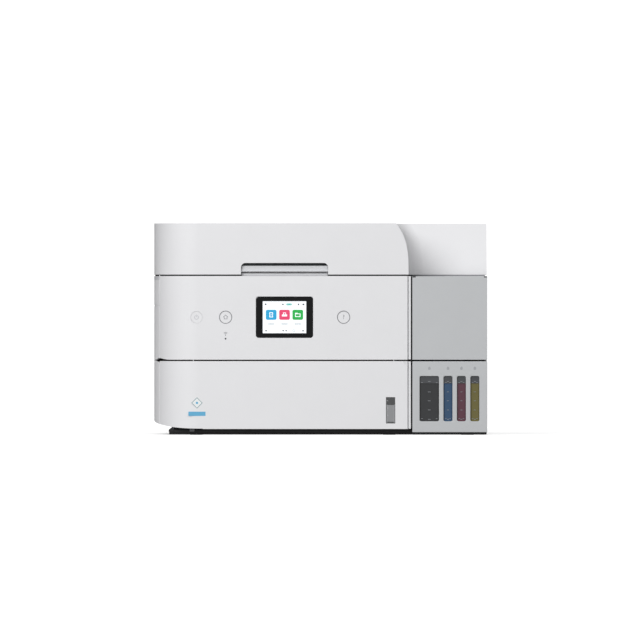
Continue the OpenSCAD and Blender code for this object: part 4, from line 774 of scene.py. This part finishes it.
def corner_strip(name, inset, thick, x1, y1, z0, z1):
    """A strip that runs at an inset behind the front and the left side, round the large corner."""
    strip = block(name, LEFT + inset, x1, FRONT + inset, y1, z0, z1)
    hollow = block("hollow", LEFT + inset + thick, x1 + 6, FRONT + inset + thick, y1 + 35, z0 - 1, z1 + 1)
    corner = lambda e: lies(e, "z") and mid(e).x < CORNER_X - 5 and mid(e).y < CORNER_Y - 5
    rounded(strip, CORNER_R - inset, corner, segments=24)
    rounded(hollow, CORNER_R - inset - thick, corner, segments=24)
    return cut(strip, hollow)


# Black strips set back in the seam under the lid, as painted shade; the finger recess stays free
low, high = PANEL_TOP + TOUCH, LID_Z - 0.1
seam_strip = corner_strip("upper_seam_painted_shade", 6.4, 2.0, PANEL_END - 1, BACK - 30, low, high)
cut(seam_strip, block("gap", GRIP_X0 - 0.2, GRIP_X1 + 0.2, FRONT - 1, FRONT + 20, low - 5, high + 5))
fitted(seam_strip, "scanner", "black", shadow_black)
side_strip = block("upper_seam_side_painted_shade", LEFT + 1.2, LEFT + 3.0, CORNER_Y, BACK - 30, low, high)
fitted(side_strip, "scanner", "black", shadow_black)
# Grey strip in the seam under the hollow of the lid: painted shade
hollow_strip = block("hollow_seam_painted_shade", PANEL_END, RIGHT - 2, -90.6, -88.6, PANEL_TOP + 0.05, high)
fitted(hollow_strip, "scanner", "grey_shell", icon_grey)
# White strip in the seam under the scanner unit, which reaches forward as far as the panel
low, high = SIDE_TOP + TOUCH, SCANNER_Z - TOUCH
white_strip = corner_strip("side_seam_lining", 0.8, 1.6, CORNER_X, BACK - 13, low, high)
cut(white_strip, block("front", LEFT - 1, CORNER_X + 5, FRONT - 1, WRAP_Y + 1, low - 1, high + 1))
fitted(white_strip, "chassis", "shell", white_abs)

# Ribs under the base close the view below it; black moulding painted near black as painted shade, as little
# light gets there
base_black = finish_of("black_base_and_painted_shade", "#070708", grain=1.4, relief=0.08, mottle=0.2, rough=0.6,
                       IOR=1.59, Specular_IOR_Level=0.25)
BASE_X0, RIB_Z0, RIB_Z1 = -170.5, 0.5, 3.4
ribs = [block("base_ribs", BASE_X0, 103.6, -156.5, -154.0, RIB_Z0, RIB_Z1),
        block("back_rib", BASE_X0, 101.0, 158, 160, RIB_Z0, RIB_Z1),
        block("ink_front_rib", 103.4, 186.6, -170.0, -168.0, RIB_Z0, 5.4),
        block("ink_back_rib", 103.4, 180.0, -99.0, -97.0, RIB_Z0, 5.4)]
ribs += [block("long_rib", x, x + 2, -154, 158, 0.8, RIB_Z1) for x in (BASE_X0, -100, -20, 60)]
fitted(joined("base_ribs", *ribs), "chassis", "black", base_black)
skirt = softened(block("base_front", BASE_X0, 103.0, -159.0, -156.0, 3.1, 6.4), 0.6)
fitted(skirt, "chassis", "black", base_black)
catch = softened(block("base_catch", -147.5, -142.0, -160.5, -157.0, 3.9, 6.5), 0.5)
fitted(catch, "chassis", "dark", icon_grey)

# ---- Back and underside ----

# Zinc-plated screws: a soft yellowish grey shine
zinc = finish_of("zinc_plated_steel", "#b4b2ab", grain=0.6, relief=0.02, mottle=0.12, rough=0.35,
                 rough_swing=0.08, Metallic=1.0)
# Nickel-plated contacts: bright and slightly warm
nickel = finish_of("nickel_contacts", "#c9c8c2", grain=0.8, relief=0.01, mottle=0.05, rough=0.2, Metallic=1.0)
# Silver label film: a flat pale grey with a soft sheen
silver_film = finish_of("blank_silver_label", "#b9bcc0", grain=4.0, relief=0.01, mottle=0.03, rough=0.4,
                        IOR=1.5)
# Screw heads: radius and height; their cross: half length, half width, and how much of the head is under it
HEAD_R, HEAD_T = 2.9, 1.5
CROSS_LONG, CROSS_WIDE, CROSS_BASE = 1.5, 0.28, 0.7


def screw(name, axis, face, outward, centre):
    """A pan head with a cross recess, sitting on a face; outward is +1 or -1 along the axis."""
    along, top = "xyz".index(axis), face + outward * HEAD_T
    head = bar(name, axis, *sorted((face, top)), centre, HEAD_R, sides=32)
    rounded(head, 0.8, lambda e: abs(mid(e)[along] - top) < 0.01, segments=3)
    for a, b in ((CROSS_LONG, CROSS_WIDE), (CROSS_WIDE, CROSS_LONG)):
        spans = [(centre[0] - a, centre[0] + a), (centre[1] - b, centre[1] + b)]
        spans.insert(along, sorted((face + outward * CROSS_BASE, face + outward * 2 * HEAD_T)))
        cut(head, block("cross", *(v for span in spans for v in span)))
    return fitted(smooth(head), "chassis", "bright_steel", zinc)


# Screws of the back cover in round wells, and a shallow pocket with a blank label
WELL_R, WELL_D = 4.2, 2.2
BACK_SCREWS = ((-176, 14), (-176, 132), (104, 14), (104, 132), (178, 60), (178, 132), (-30, 14))
POCKET_X0, POCKET_X1, POCKET_Z0, POCKET_Z1, POCKET_D = 30, 92, 18, 52, 0.3
wells = [bar("well", "y", BACK - WELL_D, BACK + 1, place, WELL_R, sides=32) for place in BACK_SCREWS]
pocket = block("pocket", POCKET_X0, POCKET_X1, BACK - POCKET_D, BACK + 1, POCKET_Z0, POCKET_Z1)
rear = softened(cut(raw("rear_shell"), *wells, pocket), 0.3)
fitted(rear, "chassis", slot_of["rear_shell"], white_abs, "rear_shell")
for i, place in enumerate(BACK_SCREWS):
    screw(f"back_screw_{i + 1}", "y", BACK - WELL_D, 1, place)
label = cornered("rating_label_blank", POCKET_X0 + 0.4, POCKET_X1 - 0.4, BACK - POCKET_D + TOUCH, BACK - 0.1,
                 POCKET_Z0 + 0.4, POCKET_Z1 - 0.4, 1.5)
fitted(label, "chassis", "inner_light", silver_film)

# Contacts in the sockets: two mains pins, tongues of the data sockets and small contacts on them
PORT_X, PORT_Z, PORT_Y = 117.5, 36.0, BACK - 0.8
pins = [bar("mains_pins", "y", PORT_Y - 13.9, PORT_Y - 3, (PORT_X + x, PORT_Z), 1.2) for x in (10.5, 19.5)]
fitted(joined("mains_pins", *pins), "chassis", "bright_steel", nickel)
tongues, contacts = [], []
for x in (PORT_X + 34, PORT_X + 46.5):
    for z in (PORT_Z + 7, PORT_Z - 7):
        tongues.append(block("tongue", x - 2.6, x + 2.6, PORT_Y - 11.9, PORT_Y - 2, z + 0.6, z + 2.2))
        for k in (x - 1.8, x - 0.6, x + 0.6, x + 1.8):
            contacts.append(block("contact", k - 0.3, k + 0.3, PORT_Y - 11, PORT_Y - 2.5, z + 0.45, z + 0.7))
fitted(joined("socket_tongues", *tongues), "chassis", "black", black_hips)
fitted(joined("socket_contacts", *contacts), "chassis", "bright_steel", nickel)

# Screws under the base pan
BASE_Z = 3.0
BASE_SCREWS = ((-150, -100), (-150, 120), (80, -100), (80, 120), (-35, -20), (165, 40))
for i, place in enumerate(BASE_SCREWS):
    screw(f"base_screw_{i + 1}", "z", BASE_Z, -1, place)

# ---- Top: marks of the sheet feeder ----

# Lines on the input tray that show where sheets of usual sizes end
MARK_X, MARK_Y = (-52.0, -44.0, -30.0), (12.0, 99.0)
marks = [block("mark", x, x + 0.8, y - 3, y + 3, 235.2, 235.6) for x in MARK_X for y in MARK_Y]
fitted(joined("sheet_size_marks", *marks), "feeder_tray", "grey_shell", icon_grey)

# ---- Scanner: size ticks along the glass and the mark of its starting corner ----

# Starting corner of the sheet, and the height of a printed mark on the frame
GLASS_X, GLASS_Y = -155.0, 129.0
z0, z1 = PANEL_TOP, PANEL_TOP + 0.06
ticks = []
for d in range(10, 297, 10):
    length = 4.0 if d % 50 == 0 else 2.0
    ticks.append(block("tick", GLASS_X + d, GLASS_X + d + 0.6, GLASS_Y, GLASS_Y + length, z0, z1))
for d in range(10, 216, 10):
    y = GLASS_Y - 1.0 - d
    ticks.append(block("tick", GLASS_X - 3.6, GLASS_X - 1.4, y - 0.6, y, z0, z1))
fitted(joined("glass_ticks", *ticks), "scanner", "dark", icon_grey)
place = (GLASS_X - 3.0, GLASS_Y + 2.5)
arrow = turned(bar("corner_arrow", "z", z0, z1, place, 2.2, sides=3), "z", 45, (*place, z0))
fitted(arrow, "scanner", "dark", icon_grey)

# ---- Print engine ----

# Clear film with fine bars that the carriage reads: drawn as wide as they need to show
film = finish_of("encoder_film", "#8f9498", grain=0.6, relief=0.0, mottle=0.25, rough=0.15, IOR=1.6,
                 stretch=(8, 0.1, 0.1))
fitted(block("encoder_strip", -160, 176, 50.2, 50.4, 131.5, 137.5), "chassis", "clear_dark", film)
# Coloured fields on the carriage show where each ink enters; its latch lies behind them
CARRIAGE_TOP = 139.8
for i, ink in enumerate(INKS):
    x = 125.0 + 11.5 * i
    field = cornered(f"carriage_field_{ink}", x, x + 9.5, -20, 8, CARRIAGE_TOP, CARRIAGE_TOP + 0.7, 1.2,
                     axis="z")
    fitted(softened(field, 0.15), "head", "cap_" + ink, cap_finish[i])
latch = cut(cornered("carriage_latch", 134, 158, 14, 24, CARRIAGE_TOP, CARRIAGE_TOP + 1.8, 2.0, axis="z"),
            block("grip", 138, 154, 17, 21, CARRIAGE_TOP + 1.1, 143))
fitted(softened(latch, 0.3), "head", "grey_shell", grey_abs)

# Gear wheels: how deep the teeth reach into the rim, half the width of a tooth, the two faces of a wheel
TOOTH_DEPTH, TOOTH_HALF = 1.4, 0.45
GEAR_X0, GEAR_X1 = 175.2, 178.6


def gear(name, centre, radius, teeth, body, finish):
    """A spur wheel with a hub on the right end of a roller; centre is its Y and Z."""
    wheel = bar(name, "x", GEAR_X0, GEAR_X1, centre, radius - 0.9)
    parts = [bar("hub", "x", GEAR_X0 - 0.6, GEAR_X1 + 0.4, centre, radius * 0.35, sides=24)]
    y, z = centre
    for i in range(teeth):
        tooth = block("tooth", GEAR_X0 + 0.1, GEAR_X1 - 0.1, y + radius - TOOTH_DEPTH, y + radius,
                      z - TOOTH_HALF, z + TOOTH_HALF)
        parts.append(turned(tooth, "x", 360 * i / teeth, (GEAR_X0, y, z)))
    return fitted(smooth(joined(name, wheel, *parts)), body, "inner_light", finish)


# Unfilled acetal: ivory, waxy, a little see-through at the edges
acetal = finish_of("natural_acetal", "#e3e1da", grain=3.0, relief=0.01, mottle=0.04, rough=0.35, IOR=1.48,
                   Subsurface_Weight=0.1)
gear("feed_gear", (64.0, 92.5), 9.0, 28, "feed", acetal)
gear("eject_gear", (-40.0, 94.7), 8.0, 24, "eject", acetal)

# Low ribs on the output tray that keep a wet sheet off it
ribs = [block("tray_ribs", x, x + 1.2, -104, 34, 90.9, 91.7) for x in range(-112, 55, 27)]
fitted(softened(joined("tray_ribs", *ribs), 0.2), "tray", "inner_light", light_abs)

# ---- Floor, light and camera ----

# Opal table lit from below, as used for packshots: it stays white behind a soft contact shadow
opal = finish_of("opal_table", "#f7f7f7", grain=30.0, relief=0.02, mottle=0.01, rough=0.8,
                 Emission_Color=linear("#ffffff"), Emission_Strength=TABLE_GLOW)
bpy.ops.object.select_all(action="DESELECT")
bpy.ops.mesh.primitive_plane_add(size=TABLE_FAR - TABLE_NEAR, location=(0, (TABLE_FAR + TABLE_NEAR) / 2, 0))
floor = bpy.context.object
floor.name = "studio_table"
floor.data.materials.append(opal)
floor.visible_diffuse = False

# White for the camera; for the light a wide soft glow from the front left that fades to the sides
world = bpy.data.worlds.new("studio")
bpy.context.scene.world = world
world.use_nodes = True
sky = world.node_tree
direction = add(sky, "ShaderNodeTexCoord").outputs["Generated"]
toward = add(sky, "ShaderNodeVectorMath", [(direction, 0)], operation="DOT_PRODUCT")
toward.inputs[1].default_value = Vector(GLOW_FROM).normalized()
glow_range = {"From Min": 0.0, "From Max": 1.0, "To Min": GLOW_FAR, "To Max": GLOW_NEAR}
glow = add(sky, "ShaderNodeMapRange", [(toward.outputs["Value"], "Value")], **glow_range)
seen = add(sky, "ShaderNodeLightPath").outputs["Is Camera Ray"]
power = add(sky, "ShaderNodeMix", [(seen, "Factor"), (glow.outputs["Result"], "A")], data_type="FLOAT")
power.inputs["B"].default_value = BACKDROP_WHITE
backdrop = sky.nodes["Background"]
backdrop.inputs["Color"].default_value = linear("#ffffff")
sky.links.new(power.outputs[0], backdrop.inputs["Strength"])


def softbox(name, place, aim, width, watts):
    """A square area light that looks at a point; all in metres."""
    light = bpy.data.lights.new(name, "AREA")
    light.size, light.energy = width, watts
    lamp = bpy.data.objects.new(name, light)
    bpy.context.scene.collection.objects.link(lamp)
    lamp.location = place
    lamp.rotation_euler = (Vector(aim) - Vector(place)).to_track_quat("-Z", "Y").to_euler()


softbox("key_left", (-1.0, -2.4, 1.3), (0, -0.1, 0.12), 1.2, KEY_WATTS)
softbox("back_fill", (0.8, 2.2, 1.2), (0, 0.1, 0.1), 1.2, BACK_WATTS)

# Level camera with a very long lens, so that the sides don't show
DISTANCE = LENS / SENSOR * FIELD
camera = bpy.data.objects.new("camera", bpy.data.cameras.new("camera"))
camera.data.lens, camera.data.sensor_width = LENS, SENSOR
camera.data.clip_start, camera.data.clip_end = 1, 200
camera.location = m(EYE_X, FRONT - DISTANCE, EYE_Z)
camera.rotation_euler = (math.pi / 2, 0, 0)
bpy.context.scene.collection.objects.link(camera)
bpy.context.scene.camera = camera
bpy.context.scene.view_settings.view_transform = "Standard"
